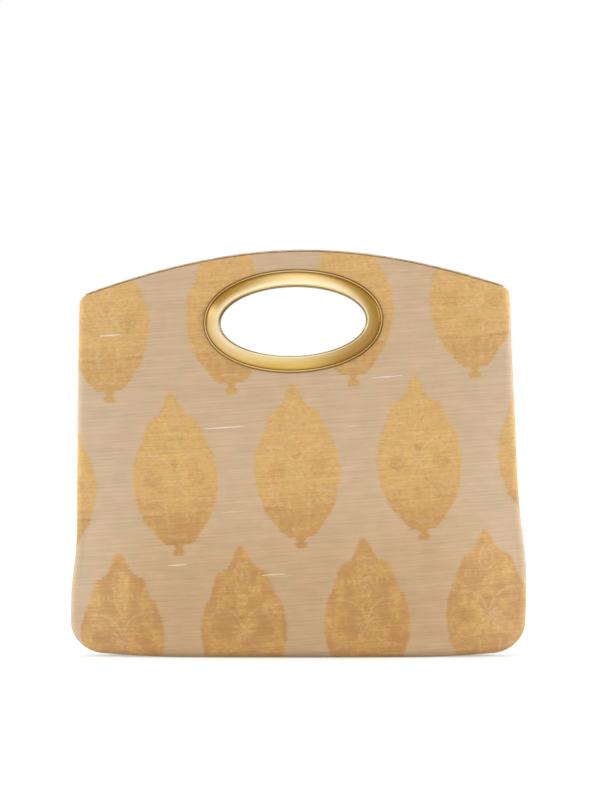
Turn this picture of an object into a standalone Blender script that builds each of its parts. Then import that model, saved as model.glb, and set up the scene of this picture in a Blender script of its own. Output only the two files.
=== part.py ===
# A silk clutch with an oval metal handle let into each side, built as its separate pieces.
# Metres, +Z up. The bag stands on the floor at z = 0, its front faces -Y, and y = 0 is the
# plane between its two halves. Each front piece has a back twin across that plane.
# "Plan" below means the front view: points (x, z) as rows of an array.

import math

import bmesh
import bpy
import numpy as np
from mathutils import Vector
from mathutils.geometry import delaunay_2d_cdt

# Outline in the front view
BAG_HEIGHT = 0.2818
TOP_HALF_WIDTH = 0.1485
BASE_HALF_WIDTH = 0.1566
FLARE = 0.0028  # how far the filled lower corners push the sides out
FLARE_HEIGHT = 0.046
FLARE_REACH = 0.036
BOTTOM_CORNER_RADIUS = 0.0245
BOTTOM_RISE = 0.0022  # how far the bottom lifts before its corners
FLAT_HALF_WIDTH = 0.075  # the stretch of the bottom that lies on the floor
ARCH_DROP = 0.0284  # from the middle of the mouth to its corners
ARCH_BEND = 0.172  # a smaller value gives straighter shoulders
TOP_CORNER_RADIUS = 0.0045

# The soft top has settled a little to one side, its right end up, and the full lower part
# has swayed a little the other way
LEAN_START = 0.060
TOP_TILT = math.radians(1.25)
TOP_SHIFT = -0.0026
SWAY = 0.0016
SWAY_HEIGHT = 0.072
SWAY_REACH = 0.028

# Half depth, from the middle plane to the outside of the cloth
BELLY_HALF_DEPTH = 0.0190
BELLY_HEIGHT = 0.050
FOOT_TUCK = 0.0025
MOUTH_HALF_DEPTH = 0.0068
SIDE_HALF_DEPTH = 0.0046
FULLNESS = 2.4
SEAM_ROUND = 0.0060  # plan width over which the cloth rounds into its seam
SEAM_EDGE = 0.0008
BOTTOM_SHARE = 0.60  # share of the depth at the floor that lies flat on it

# Layers of one half, from the outside in
PANEL_THICKNESS = 0.0012
BOARD_THICKNESS = 0.0008
FACING_THICKNESS = 0.0006
LINING_THICKNESS = 0.0005
PIPING_HEIGHT = 0.0013
PIPING_END_SHARE = 0.6  # where the piping ends, as a share of the seam's rounding
GAP = 0.0003

# Oval handle
OPENING_HALF_WIDTH = 0.0507
OPENING_HALF_HEIGHT = 0.0242
BAND_WIDTH = 0.0118
CLOTH_ABOVE_HANDLE = 0.0135
HANDLE_SHIFT = -0.0010  # the handle is let in a little left of the middle
HANDLE_TILT = math.radians(1.6)
HANDLE_HALF_DEPTH = 0.0070  # the cloth is pressed flat here, this far from the middle plane
HANDLE_BLEND = 0.026  # over this width the cloth swells back to its own depth
LIP_RISE = 0.0022
CREST_RISE = 0.0033
SHOULDER_RISE = 0.0024
STEP_RISE = 0.0012
LIP_BEVEL = 0.0018
STEP_WIDTH = 0.0024
WEB_WIDTH = 0.0052
PLATE_WIDTH = 0.0095
PLATE_THICKNESS = 0.0012

# Screws that pull each handle frame and its plate together
SCREW_OFFSET = 0.0027
SCREW_RADIUS = 0.0009
SCREW_HEAD_RADIUS = 0.0018
SCREW_HEAD_HEIGHT = 0.0009
SCREW_CROWN_RADIUS = 0.00126
SCREW_GRIP = 0.0030
SCREW_ANGLES = (45.0, 135.0, 225.0, 315.0)

# Magnetic snap under the handles
SNAP_RADIUS = 0.0090
SNAP_BELOW_HANDLE = 0.0050
SOCKET_HEIGHT = 0.0040
SNAP_HOLE_RADIUS = 0.0033
SNAP_HOLE_DEPTH = 0.0026
NUB_HEIGHT = 0.0020
SNAP_BEVEL = 0.0005
PRONG_SPREAD = 0.0040
PRONG_WIDTH = 0.0040
PRONG_THICKNESS = 0.0005
WASHER_RADIUS = 0.0070
WASHER_THICKNESS = 0.0005
FACING_BELOW_SNAP = 0.0080

# Woven leaf pattern
LEAF_PITCH = 0.0847
LEAF_ROW_DROP = 0.1097
LEAF_ROW_TILT = math.radians(3.9)
LEAF_COLUMN_TILT = math.radians(2.3)
LEAF_LENGTH = 0.1160
LEAF_HALF_WIDTH = 0.0290
LEAF_STEM = 0.0080
STEM_WAIST = 0.0032  # from the blade down to the stem's narrowest place
STEM_HALF_WIDTH = 0.0022
FOOT_HALF_WIDTH = 0.0046
LEAF_FOOT_X = 0.0007  # foot of the middle leaf of the middle row on the front
LEAF_FOOT_Z = 0.0749
LEAF_RELIEF = 0.00040
LEAF_MARGIN = 0.0015
# Half widths of a leaf as a share of its widest, from the tip down to the stem
LEAF_STATIONS = (
    (0.00, 0.05),
    (0.12, 0.28),
    (0.21, 0.62),
    (0.40, 0.87),
    (0.60, 1.00),
    (0.76, 0.92),
    (0.90, 0.55),
    (1.00, 0.24),
)

# Fineness of the meshes
MESH_SPACING = 0.028
MESH_CLEARANCE = 0.0084  # loose points keep this far from the lines
SMOOTH_ANGLE = math.radians(35.0)
SIDE_STEPS_ABOVE = 4
SIDE_STEPS_BELOW = 5
CORNER_STEPS = 5
RISE_STEPS = 2
FLAT_STEPS = 3
MOUTH_STEPS = 16
FACING_EDGE_STEPS = 8
HANDLE_STEPS = 36
SCREW_SIDES = 8
SNAP_SIDES = 16
PIPING_SIDES = 6
RIM_ANGLES = (40.0, 90.0)
MERGE = 1e-5  # plan points closer than this become one
SLIVER_AREA = 1e-9  # triangles this small lie along a straight edge, outside it

HANDLE_Z = BAG_HEIGHT - CLOTH_ABOVE_HANDLE - BAND_WIDTH - OPENING_HALF_HEIGHT
SNAP_Z = HANDLE_Z - OPENING_HALF_HEIGHT - BAND_WIDTH - SNAP_BELOW_HANDLE - SNAP_RADIUS
FACING_BOTTOM = SNAP_Z - SNAP_RADIUS - FACING_BELOW_SNAP
NECK_HEIGHT = SNAP_Z
BOARD_OUT = PANEL_THICKNESS + GAP
BOARD_IN = BOARD_OUT + BOARD_THICKNESS
FACING_OUT = BOARD_IN + GAP
FACING_IN = FACING_OUT + FACING_THICKNESS
LINING_IN = FACING_OUT + LINING_THICKNESS
CLOTH_EDGE = WEB_WIDTH + GAP  # where the cloth stops inside the handle
FRONT, BACK = -1.0, 1.0


def smooth(share):
    share = np.clip(share, 0.0, 1.0)
    return share * share * (3.0 - 2.0 * share)


def half_width(z):
    taper = (BASE_HALF_WIDTH - TOP_HALF_WIDTH) * (1.0 - z / BAG_HEIGHT)
    return TOP_HALF_WIDTH + taper + FLARE * np.exp(-(((z - FLARE_HEIGHT) / FLARE_REACH) ** 2))


def arch(x):
    bend = np.sqrt(1.0 + (x / ARCH_BEND) ** 2) - 1.0
    corner_bend = math.sqrt(1.0 + (TOP_HALF_WIDTH / ARCH_BEND) ** 2) - 1.0
    return BAG_HEIGHT - ARCH_DROP * bend / corner_bend


def cloth_top(x):
    """Top edge of the cloth layers, which the piping covers."""
    return arch(x) - PIPING_HEIGHT - GAP


def corner_round(inset):
    """How far the mouth's corner has dropped, at this distance in from the side."""
    inside = np.clip(TOP_CORNER_RADIUS - inset, 0.0, TOP_CORNER_RADIUS)
    return TOP_CORNER_RADIUS - np.sqrt(TOP_CORNER_RADIUS**2 - inside**2)


def lean_share(z):
    return smooth((z - LEAN_START) / (BAG_HEIGHT - LEAN_START))


def sideways(z):
    """How far the bag's middle line is from its upright one at this height."""
    return TOP_SHIFT * lean_share(z) + SWAY * np.exp(-(((z - SWAY_HEIGHT) / SWAY_REACH) ** 2))


def lean(plan):
    x, z = plan[:, 0], plan[:, 1]
    return np.column_stack([x + sideways(z), z + lean_share(z) * x * math.tan(TOP_TILT)])


HANDLE_CENTRE = lean(np.array([[HANDLE_SHIFT, HANDLE_Z]]))[0]
SNAP_CENTRE = lean(np.array([[HANDLE_SHIFT, SNAP_Z]]))[0]


def handle_oval(offset, angles):
    """Points this far outside the opening's edge, in plan, at angles in radians round the oval."""
    across, up = np.cos(angles), np.sin(angles)
    normal = np.column_stack([across * OPENING_HALF_HEIGHT, up * OPENING_HALF_WIDTH])
    normal /= np.linalg.norm(normal, axis=1)[:, None]
    points = np.column_stack([across * OPENING_HALF_WIDTH, up * OPENING_HALF_HEIGHT]) + offset * normal
    cosine, sine = math.cos(HANDLE_TILT), math.sin(HANDLE_TILT)
    return points @ np.array([[cosine, sine], [-sine, cosine]]) + HANDLE_CENTRE


def circle(centre, radius, steps):
    angles = np.linspace(0.0, 2.0 * math.pi, steps, endpoint=False)
    return centre + radius * np.column_stack([np.cos(angles), np.sin(angles)])


def rectangle(centre, width, height):
    corners = np.array([[-1.0, -1.0], [1.0, -1.0], [1.0, 1.0], [-1.0, 1.0]])
    return centre + corners * np.array([width, height]) / 2.0


def handle_loop(offset):
    return handle_oval(offset, np.linspace(0.0, 2.0 * math.pi, HANDLE_STEPS, endpoint=False))


def distance_from_opening(plan):
    """Rough distance outside the opening's oval."""
    cosine, sine = math.cos(HANDLE_TILT), math.sin(HANDLE_TILT)
    local = (plan - HANDLE_CENTRE) @ np.array([[cosine, -sine], [sine, cosine]])
    scaled = local / np.array([OPENING_HALF_WIDTH, OPENING_HALF_HEIGHT])
    size = np.maximum(np.linalg.norm(scaled, axis=1), 1e-9)
    slope = np.linalg.norm(scaled / np.array([OPENING_HALF_WIDTH, OPENING_HALF_HEIGHT]), axis=1)
    return (size - 1.0) * size / np.maximum(slope, 1e-9)


def half_depth(plan):
    """Distance of the outer cloth from the middle plane: full low down, flat and thin by the
    handle, thinner towards the side seams."""
    x, z = plan[:, 0], plan[:, 1]
    climb = np.clip((z - BELLY_HEIGHT) / (NECK_HEIGHT - BELLY_HEIGHT), 0.0, 1.0)
    belly = 0.5 * (1.0 + np.cos(math.pi * climb))
    tuck = FOOT_TUCK * np.clip((BELLY_HEIGHT - z) / BELLY_HEIGHT, 0.0, 1.0) ** 2
    centre = MOUTH_HALF_DEPTH + (BELLY_HALF_DEPTH - MOUTH_HALF_DEPTH) * belly - tuck
    across = np.abs(x - sideways(z)) / (half_width(z) - SEAM_ROUND)
    swell = 1.0 - np.minimum(across, 1.0) ** FULLNESS
    free = SIDE_HALF_DEPTH + (centre - SIDE_HALF_DEPTH) * swell
    past_handle = distance_from_opening(plan) - BAND_WIDTH
    past_snap = np.linalg.norm(plan - SNAP_CENTRE, axis=1) - SNAP_RADIUS
    blend = smooth(np.minimum(past_handle, past_snap) / HANDLE_BLEND)
    return HANDLE_HALF_DEPTH + (free - HANDLE_HALF_DEPTH) * blend


def seam_stations():
    """Points down the left seam, along the bottom and up the right seam, before the lean, with
    the inward direction at each. One point on each side is at the facing's lower edge."""
    top = cloth_top(half_width(BAG_HEIGHT)) - TOP_CORNER_RADIUS
    side_z = np.concatenate(
        [
            np.linspace(top, FACING_BOTTOM, SIDE_STEPS_ABOVE + 1),
            np.linspace(FACING_BOTTOM, BOTTOM_CORNER_RADIUS, SIDE_STEPS_BELOW + 1)[1:],
        ]
    )
    side = np.column_stack([half_width(side_z), side_z])
    turn = np.linspace(0.0, math.pi / 2.0, CORNER_STEPS + 1)[1:]
    corner_x = side[-1, 0] - BOTTOM_CORNER_RADIUS * (1.0 - np.cos(turn))
    corner_z = BOTTOM_CORNER_RADIUS - (BOTTOM_CORNER_RADIUS - BOTTOM_RISE) * np.sin(turn)
    rise_x = np.linspace(corner_x[-1], FLAT_HALF_WIDTH, RISE_STEPS + 1)[1:]
    rise_z = BOTTOM_RISE * ((rise_x - FLAT_HALF_WIDTH) / (corner_x[-1] - FLAT_HALF_WIDTH)) ** 2
    flat_x = np.linspace(FLAT_HALF_WIDTH, 0.0, FLAT_STEPS + 1)[1:]
    right = np.concatenate(
        [
            side,
            np.column_stack([corner_x, corner_z]),
            np.column_stack([rise_x, rise_z]),
            np.column_stack([flat_x, np.zeros(len(flat_x))]),
        ]
    )
    left = right * np.array([-1.0, 1.0])
    stations = np.concatenate([left, right[::-1][1:]])
    along = np.zeros_like(stations)
    along[1:-1] = stations[2:] - stations[:-2]
    along[0], along[-1] = (0.0, -1.0), (0.0, 1.0)
    along /= np.linalg.norm(along, axis=1)[:, None]
    return stations, np.column_stack([-along[:, 1], along[:, 0]])


STATIONS, INWARD = seam_stations()
LAST = len(STATIONS) - 1


def inset_stations(inset):
    """The seam's stations moved inwards, leaned. The two ends follow the mouth's edge."""
    plan = STATIONS + inset * INWARD
    for end in (0, LAST):
        plan[end, 1] = cloth_top(plan[end, 0]) - corner_round(inset)
    return lean(plan)


def mouth_points(inset):
    """Points along the mouth's edge from right to left, between the ends of the seam."""
    reach = STATIONS[LAST, 0] - inset
    x = np.linspace(reach, -reach, MOUTH_STEPS + 1)[1:-1]
    return lean(np.column_stack([x, cloth_top(x)]))


def facing_edge(inset):
    """Points along the facing's lower edge from left to right, without its ends."""
    reach = half_width(FACING_BOTTOM) - inset
    x = np.linspace(-reach, reach, FACING_EDGE_STEPS + 1)[1:-1]
    return lean(np.column_stack([x, np.full(len(x), FACING_BOTTOM)]))


def inside(points, loop):
    """Whether each point lies in the closed loop."""
    x, z = points[:, 0:1], points[:, 1:2]
    x0, z0 = loop[:, 0][None], loop[:, 1][None]
    x1, z1 = np.roll(x0, -1), np.roll(z0, -1)
    rise = np.where(z1 == z0, 1.0, z1 - z0)
    crosses = ((z0 > z) != (z1 > z)) & (x < (x1 - x0) * (z - z0) / rise + x0)
    return crosses.sum(axis=1) % 2 == 1


def lattice(loops, taken):
    """Staggered points inside the first loop and outside the others, clear of the taken points."""
    reach = np.arange(-20, 21) * MESH_SPACING
    x, z = np.meshgrid(reach, reach * math.sqrt(3.0) / 2.0)
    x = x + np.where(np.arange(len(x)) % 2, MESH_SPACING / 2.0, 0.0)[:, None]
    points = np.column_stack([x.ravel(), z.ravel()])
    keep = inside(points, loops[0])
    for hole in loops[1:]:
        keep &= ~inside(points, hole)
    points = points[keep]
    near = np.linalg.norm(points[:, None] - taken[None], axis=2).min(axis=1)
    return points[near > MESH_CLEARANCE]


def closed_line(points):
    count = len(points)
    return points, [(k, (k + 1) % count) for k in range(count)]


def open_line(points):
    return points, [(k, k + 1) for k in range(len(points) - 1)]


def triangulate(lines, loose):
    """Triangles over lines, each given as points and pairs of them, and over loose points.
    Returns the points, the triangles and where each given point went."""
    given, edges = [], []
    for points, pairs in lines:
        first = sum(len(block) for block in given)
        given.append(points)
        edges.extend((first + one, first + other) for one, other in pairs)
    given.append(loose)
    every = [Vector(point) for point in np.concatenate(given)]
    found = delaunay_2d_cdt(every, edges, [], 0, MERGE)
    plan = np.array([tuple(point) for point in found[0]])
    place = {old: new for new, olds in enumerate(found[3]) for old in olds}
    return plan, np.array(found[2]), place


def inside_figures(points, figures, limits):
    """Whether each point is in a figure, in the first limit and outside the others."""
    found = np.zeros(len(points), bool)
    for figure in figures:
        found |= inside(points, figure)
    for index, limit in enumerate(limits):
        found &= inside(points, limit) if index == 0 else ~inside(points, limit)
    return found


def figure_edges(figures, limits):
    """Outline of the figures where the limits have cut them, as points and pairs of them."""
    plan, faces, _ = triangulate([closed_line(loop) for loop in (*figures, *limits)], np.empty((0, 2)))
    chosen = faces[inside_figures(plan[faces].mean(axis=1), figures, limits)]
    ends = np.sort(np.concatenate([chosen[:, [0, 1]], chosen[:, [1, 2]], chosen[:, [2, 0]]]), axis=1)
    pairs, uses = np.unique(ends, axis=0, return_counts=True)
    used, index = np.unique(pairs[uses == 1], return_inverse=True)
    return plan[used], index.reshape(-1, 2).tolist()


def add_region(mesh, loops, depth, side, guide=None, figures=(), limits=()):
    """Fills the plan between the first loop and the holes with triangles, lifted to the depth.
    Returns each loop's vertices and the faces that lie in a figure and between the limits."""
    lines = [closed_line(loop) for loop in loops]
    if guide is not None:
        lines.append(open_line(guide))
    if figures:
        lines.append(figure_edges(figures, limits))
    loose = lattice(loops, np.concatenate([points for points, _ in lines]))
    plan, faces, place = triangulate(lines, loose)
    middles = plan[faces].mean(axis=1)
    keep = inside(middles, loops[0])
    for hole in loops[1:]:
        keep &= ~inside(middles, hole)
    one, other = plan[faces[:, 1]] - plan[faces[:, 0]], plan[faces[:, 2]] - plan[faces[:, 0]]
    keep &= np.abs(one[:, 0] * other[:, 1] - one[:, 1] * other[:, 0]) / 2.0 > SLIVER_AREA
    faces, middles = faces[keep], middles[keep]
    y = side * depth(plan)
    verts = {index: mesh.verts.new((plan[index, 0], y[index], plan[index, 1])) for index in np.unique(faces)}
    made = [mesh.faces.new([verts[index] for index in face]) for face in faces]
    rims, first = [], 0
    for loop in loops:
        rims.append([verts[place[first + k]] for k in range(len(loop))])
        first += len(loop)
    raised = inside_figures(middles, figures, limits)
    return rims, [face for face, chosen in zip(made, raised) if chosen]


def add_strip(mesh, one, other, closed=False):
    """Quads between two rows of vertices."""
    count = len(one)
    for k in range(count if closed else count - 1):
        after = (k + 1) % count
        mesh.faces.new((one[k], one[after], other[after], other[k]))


def add_row(mesh, plan, y):
    return [mesh.verts.new((x, across, z)) for (x, z), across in zip(plan, y)]


def material(name, colour, roughness, metallic):
    made = bpy.data.materials.new(name)
    made.use_nodes = True
    shader = made.node_tree.nodes["Principled BSDF"]
    shader.inputs["Base Color"].default_value = (*colour, 1.0)
    shader.inputs["Roughness"].default_value = roughness
    shader.inputs["Metallic"].default_value = metallic
    made.diffuse_color = (*colour, 1.0)
    return made


def finish(name, mesh, materials):
    """Turns the mesh's faces outwards and makes it an object."""
    bmesh.ops.recalc_face_normals(mesh, faces=mesh.faces[:])
    data = bpy.data.meshes.new(name)
    mesh.to_mesh(data)
    mesh.free()
    data.shade_smooth()
    data.set_sharp_from_angle(angle=SMOOTH_ANGLE)
    for used in materials:
        data.materials.append(used)
    made = bpy.data.objects.new(name, data)
    bpy.context.scene.collection.objects.link(made)
    return made


def leaf_outline(foot, mirror):
    """One leaf of the pattern: a pointed tip, wide shoulders, a tapered base and a small foot."""
    stations = np.array(LEAF_STATIONS)
    blade = LEAF_LENGTH - LEAF_STEM
    down = np.concatenate([stations[:, 0] * blade, [blade + STEM_WAIST, LEAF_LENGTH]])
    wide = np.concatenate([stations[:, 1] * LEAF_HALF_WIDTH, [STEM_HALF_WIDTH, FOOT_HALF_WIDTH]])
    right = np.column_stack([wide, LEAF_LENGTH - down])
    local = np.concatenate([right, (right * np.array([-1.0, 1.0]))[::-1]])
    rows = np.array([math.cos(LEAF_ROW_TILT), math.sin(LEAF_ROW_TILT)])
    columns = np.array([-math.sin(LEAF_COLUMN_TILT), math.cos(LEAF_COLUMN_TILT)])
    plan = foot + local[:, 0:1] * rows + local[:, 1:2] * columns
    return plan * np.array([mirror, 1.0])


def leaf_outlines(side):
    """The brick repeat of leaves over one half. On the back the same cloth is seen from behind."""
    mirror = 1.0 if side == FRONT else -1.0
    along = LEAF_PITCH * np.array([math.cos(LEAF_ROW_TILT), math.sin(LEAF_ROW_TILT)])
    down = LEAF_ROW_DROP * np.array([math.sin(LEAF_COLUMN_TILT), -math.cos(LEAF_COLUMN_TILT)])
    start = np.array([LEAF_FOOT_X, LEAF_FOOT_Z])
    columns = range(-int(TOP_HALF_WIDTH / LEAF_PITCH) - 3, int(TOP_HALF_WIDTH / LEAF_PITCH) + 4)
    rows = range(-int(BAG_HEIGHT / LEAF_ROW_DROP) - 1, int(BAG_HEIGHT / LEAF_ROW_DROP) + 2)
    seam = inset_stations(SEAM_ROUND)
    outlines = []
    for row in rows:
        for column in columns:
            shift = column + 0.5 * (row % 2)
            outline = leaf_outline(start + shift * along + row * down, mirror)
            in_x = outline[:, 0].max() > seam[:, 0].min() and outline[:, 0].min() < seam[:, 0].max()
            in_z = outline[:, 1].max() > 0.0 and outline[:, 1].min() < BAG_HEIGHT
            if in_x and in_z:
                outlines.append(outline)
    return outlines


def rim_rows(mesh, side, thickness, edge):
    """Rows of vertices from the seam round to the panel's flat part. The edge row, which the
    flat part already has, is the last of them."""
    depth = half_depth(inset_stations(SEAM_ROUND))
    lying = BOTTOM_SHARE * INWARD[:, 1] ** 2
    floor = SEAM_EDGE + lying * (depth - SEAM_EDGE)
    plan = inset_stations(thickness)
    rows = [
        add_row(mesh, plan, np.full(len(plan), side * GAP / 2.0)),
        add_row(mesh, plan, side * floor),
    ]
    for angle in np.radians(RIM_ANGLES[:-1]):
        plan = inset_stations(thickness + (SEAM_ROUND - thickness) * (1.0 - math.cos(angle)))
        rows.append(add_row(mesh, plan, side * (floor + (depth - floor - thickness) * math.sin(angle))))
    return [*rows, edge]


def panel(name, side, materials):
    """Outer cloth of one half, its leaves standing proud as the gold threads do, rounded into
    the side and bottom seams."""
    mesh = bmesh.new()
    loop = np.concatenate([inset_stations(SEAM_ROUND), mouth_points(SEAM_ROUND)])
    loops = [loop, handle_loop(CLOTH_EDGE)]
    middle = loop.mean(axis=0)
    shrink = 1.0 - LEAF_MARGIN / (TOP_HALF_WIDTH - SEAM_ROUND)
    limits = [middle + (loop - middle) * shrink, handle_loop(BAND_WIDTH + LEAF_MARGIN)]
    outer, leaves = add_region(
        mesh, loops, half_depth, side, figures=leaf_outlines(side), limits=limits
    )
    inner, _ = add_region(mesh, loops, lambda plan: half_depth(plan) - PANEL_THICKNESS, side)
    raised = bmesh.ops.extrude_face_region(mesh, geom=leaves)["geom"]
    bmesh.ops.delete(mesh, geom=leaves, context="FACES")
    for item in raised:
        if isinstance(item, bmesh.types.BMVert):
            item.co.y += side * LEAF_RELIEF
        if isinstance(item, bmesh.types.BMFace):
            item.material_index = 1
    count = LAST + 1
    outside = rim_rows(mesh, side, 0.0, outer[0][:count])
    lined = rim_rows(mesh, side, PANEL_THICKNESS, inner[0][:count])
    for rows in (outside, lined):
        for one, other in zip(rows[:-1], rows[1:]):
            add_strip(mesh, one, other)
    add_strip(mesh, outside[0], lined[0])
    for end in (0, LAST):
        add_strip(mesh, [row[end] for row in outside], [row[end] for row in lined])
    mouth = [*range(LAST, len(loop)), 0]
    add_strip(mesh, [outer[0][k] for k in mouth], [inner[0][k] for k in mouth])
    add_strip(mesh, outer[1], inner[1], closed=True)
    return finish(name, mesh, materials)


def sheet(name, side, loops, outer_depth, inner_depth, materials, guide=None):
    """A layer that follows the bag's shape between two depths, with holes."""
    mesh = bmesh.new()
    outer, _ = add_region(mesh, loops, outer_depth, side, guide)
    inner, _ = add_region(mesh, loops, inner_depth, side, guide)
    for one, other in zip(outer, inner):
        add_strip(mesh, one, other, closed=True)
    return finish(name, mesh, materials)


def prong_slots():
    slots = []
    for hand in (-1.0, 1.0):
        centre = SNAP_CENTRE + np.array([hand * PRONG_SPREAD, 0.0])
        slots.append(rectangle(centre, PRONG_THICKNESS + 2.0 * GAP, PRONG_WIDTH + 2.0 * GAP))
    return slots


def board(name, side, materials):
    """Stiffener between the outer cloth and the facing and lining, cut away for the washer."""
    inset = SEAM_ROUND + GAP
    loops = [
        np.concatenate([inset_stations(inset), mouth_points(inset)]),
        handle_loop(CLOTH_EDGE),
        circle(SNAP_CENTRE, WASHER_RADIUS + GAP, SNAP_SIDES),
    ]
    return sheet(
        name,
        side,
        loops,
        lambda plan: half_depth(plan) - BOARD_OUT,
        lambda plan: half_depth(plan) - BOARD_IN,
        materials,
        guide=facing_edge(inset),
    )


def facing(name, side, materials):
    """Cloth band inside the mouth, clamped under the handle's plate and slotted for the snap."""
    inset = SEAM_ROUND + GAP
    stations = inset_stations(inset)
    loop = np.concatenate(
        [
            stations[SIDE_STEPS_ABOVE : SIDE_STEPS_ABOVE + 1],
            facing_edge(inset),
            stations[LAST - SIDE_STEPS_ABOVE :],
            mouth_points(inset),
            stations[:SIDE_STEPS_ABOVE],
        ]
    )
    return sheet(
        name,
        side,
        [loop, handle_loop(CLOTH_EDGE), *prong_slots()],
        lambda plan: half_depth(plan) - FACING_OUT,
        lambda plan: half_depth(plan) - FACING_IN,
        materials,
    )


def lining_loop(inset):
    stations = inset_stations(inset)[SIDE_STEPS_ABOVE : LAST - SIDE_STEPS_ABOVE + 1]
    loop = np.concatenate([stations, facing_edge(inset)[::-1]])
    top = np.r_[0, len(stations) - 1 : len(loop)]
    loop[top, 1] -= GAP
    return loop, top


def lining(name, side, materials):
    """Lining below the facing: a shallow tray whose walls meet the other half's at the middle."""
    mesh = bmesh.new()
    inset = SEAM_ROUND + GAP
    outer_loop, top = lining_loop(inset)
    inner_loop, _ = lining_loop(inset + LINING_THICKNESS)
    inner_loop[top, 1] -= LINING_THICKNESS
    wall = np.full(len(outer_loop), GAP / 2.0)
    hem = half_depth(outer_loop) - LINING_IN - GAP
    wall[top] = hem[top]
    outer, _ = add_region(mesh, [outer_loop], lambda plan: half_depth(plan) - FACING_OUT, side)
    inner, _ = add_region(mesh, [inner_loop], lambda plan: half_depth(plan) - LINING_IN, side)
    rows = [outer[0], add_row(mesh, outer_loop, side * wall), add_row(mesh, inner_loop, side * wall), inner[0]]
    for one, other in zip(rows[:-1], rows[1:]):
        add_strip(mesh, one, other, closed=True)
    return finish(name, mesh, materials)


def tube_rows(mesh, rows):
    """Closes a row of rings of vertices into a solid bar."""
    for one, other in zip(rows[:-1], rows[1:]):
        add_strip(mesh, one, other, closed=True)
    mesh.faces.new(rows[0])
    mesh.faces.new(rows[-1])


def piping(name, side, materials):
    """Dark bound edge that lies along the mouth on top of the layers."""
    mesh = bmesh.new()
    end_inset = SEAM_ROUND * PIPING_END_SHARE
    depth_at_seam = half_depth(inset_stations(SEAM_ROUND))[0]
    end_depth = SEAM_EDGE + (depth_at_seam - SEAM_EDGE) * math.sqrt(1.0 - (1.0 - PIPING_END_SHARE) ** 2)
    reach = STATIONS[LAST, 0] - SEAM_ROUND
    x = np.linspace(reach, -reach, MOUTH_STEPS + 1)
    plan = np.column_stack([x, arch(x) - PIPING_HEIGHT / 2.0])
    end_x = STATIONS[LAST, 0] - end_inset
    end_z = arch(end_x) - corner_round(end_inset) - PIPING_HEIGHT / 2.0
    plan = np.concatenate([[[end_x, end_z]], plan, [[-end_x, end_z]]])
    depth = half_depth(lean(plan))
    depth[[0, -1]] = end_depth
    plan = lean(plan)
    centre = side * (depth - FACING_IN / 2.0)
    turn = np.linspace(0.0, 2.0 * math.pi, PIPING_SIDES, endpoint=False)
    rows = []
    for (px, pz), across in zip(plan, centre):
        ring_y = across + FACING_IN / 2.0 * np.cos(turn)
        ring_z = pz + PIPING_HEIGHT / 2.0 * np.sin(turn)
        rows.append(add_row(mesh, np.column_stack([np.full(PIPING_SIDES, px), ring_z]), ring_y))
    tube_rows(mesh, rows)
    return finish(name, mesh, materials)


def screw_places():
    return handle_oval(SCREW_OFFSET, np.radians(SCREW_ANGLES))


def turned(mesh, centre, profile, side, sides):
    """A round piece about an axis along Y: the profile is (radius, depth) from its axis to its
    axis. The ends of the profile on the axis become one point each."""
    start = [mesh.verts.new((centre[0], side * depth, centre[1])) for _, depth in (profile[0], profile[-1])]
    rings = []
    for radius, depth in profile[1:-1]:
        plan = circle(centre, radius, sides)
        rings.append(add_row(mesh, plan, np.full(sides, side * depth)))
    for one, other in zip(rings[:-1], rings[1:]):
        add_strip(mesh, one, other, closed=True)
    for tip, ring in ((start[0], rings[0]), (start[1], rings[-1])):
        for k in range(sides):
            mesh.faces.new((tip, ring[k], ring[(k + 1) % sides]))


def cutter(name, mesh):
    made = finish(name, mesh, [])
    made.hide_render = True
    made.display_type = "WIRE"
    return made


def boolean(made, other, operation):
    modifier = made.modifiers.new(f"{operation.lower()} {other.name}", "BOOLEAN")
    modifier.operation = operation
    modifier.solver = "EXACT"
    modifier.object = other


def handle_frame(name, side, materials):
    """Cast oval frame: a collar through the cloth, a polished lip, a broad sloping band and a
    thin step at the rim. Four blind holes take the screws."""
    mesh = bmesh.new()
    rim = BAND_WIDTH
    section = (
        (0.0, -FACING_IN),
        (0.0, LIP_RISE),
        (LIP_BEVEL, CREST_RISE),
        (rim - STEP_WIDTH - LIP_BEVEL, SHOULDER_RISE),
        (rim - STEP_WIDTH, STEP_RISE),
        (rim - STEP_WIDTH / 4.0, STEP_RISE),
        (rim, STEP_RISE / 2.0),
        (rim, GAP),
        (WEB_WIDTH, GAP),
        (WEB_WIDTH, -FACING_IN),
    )
    rows = []
    for offset, rise in section:
        plan = handle_loop(offset)
        rows.append(add_row(mesh, plan, np.full(len(plan), side * (HANDLE_HALF_DEPTH + rise))))
    for one, other in zip(rows, rows[1:] + rows[:1]):
        add_strip(mesh, one, other, closed=True)
    made = finish(name, mesh, materials)
    holes = bmesh.new()
    mouth = HANDLE_HALF_DEPTH - FACING_IN - GAP
    bottom = HANDLE_HALF_DEPTH - FACING_IN + SCREW_GRIP + GAP
    radius = SCREW_RADIUS + GAP
    for centre in screw_places():
        turned(holes, centre, ((0.0, mouth), (radius, mouth), (radius, bottom), (0.0, bottom)), side, SCREW_SIDES)
    boolean(made, cutter(f"{name}_screw_holes", holes), "DIFFERENCE")
    return made


def handle_plate(name, side, materials):
    """Flat oval plate inside the bag that clamps the cloth against the frame."""
    outer = HANDLE_HALF_DEPTH - FACING_IN - GAP
    loops = [handle_loop(PLATE_WIDTH), handle_loop(0.0)]
    loops += [circle(centre, SCREW_RADIUS + GAP, SCREW_SIDES) for centre in screw_places()]
    return sheet(
        name,
        side,
        loops,
        lambda plan: np.full(len(plan), outer),
        lambda plan: np.full(len(plan), outer - PLATE_THICKNESS),
        materials,
    )


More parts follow.
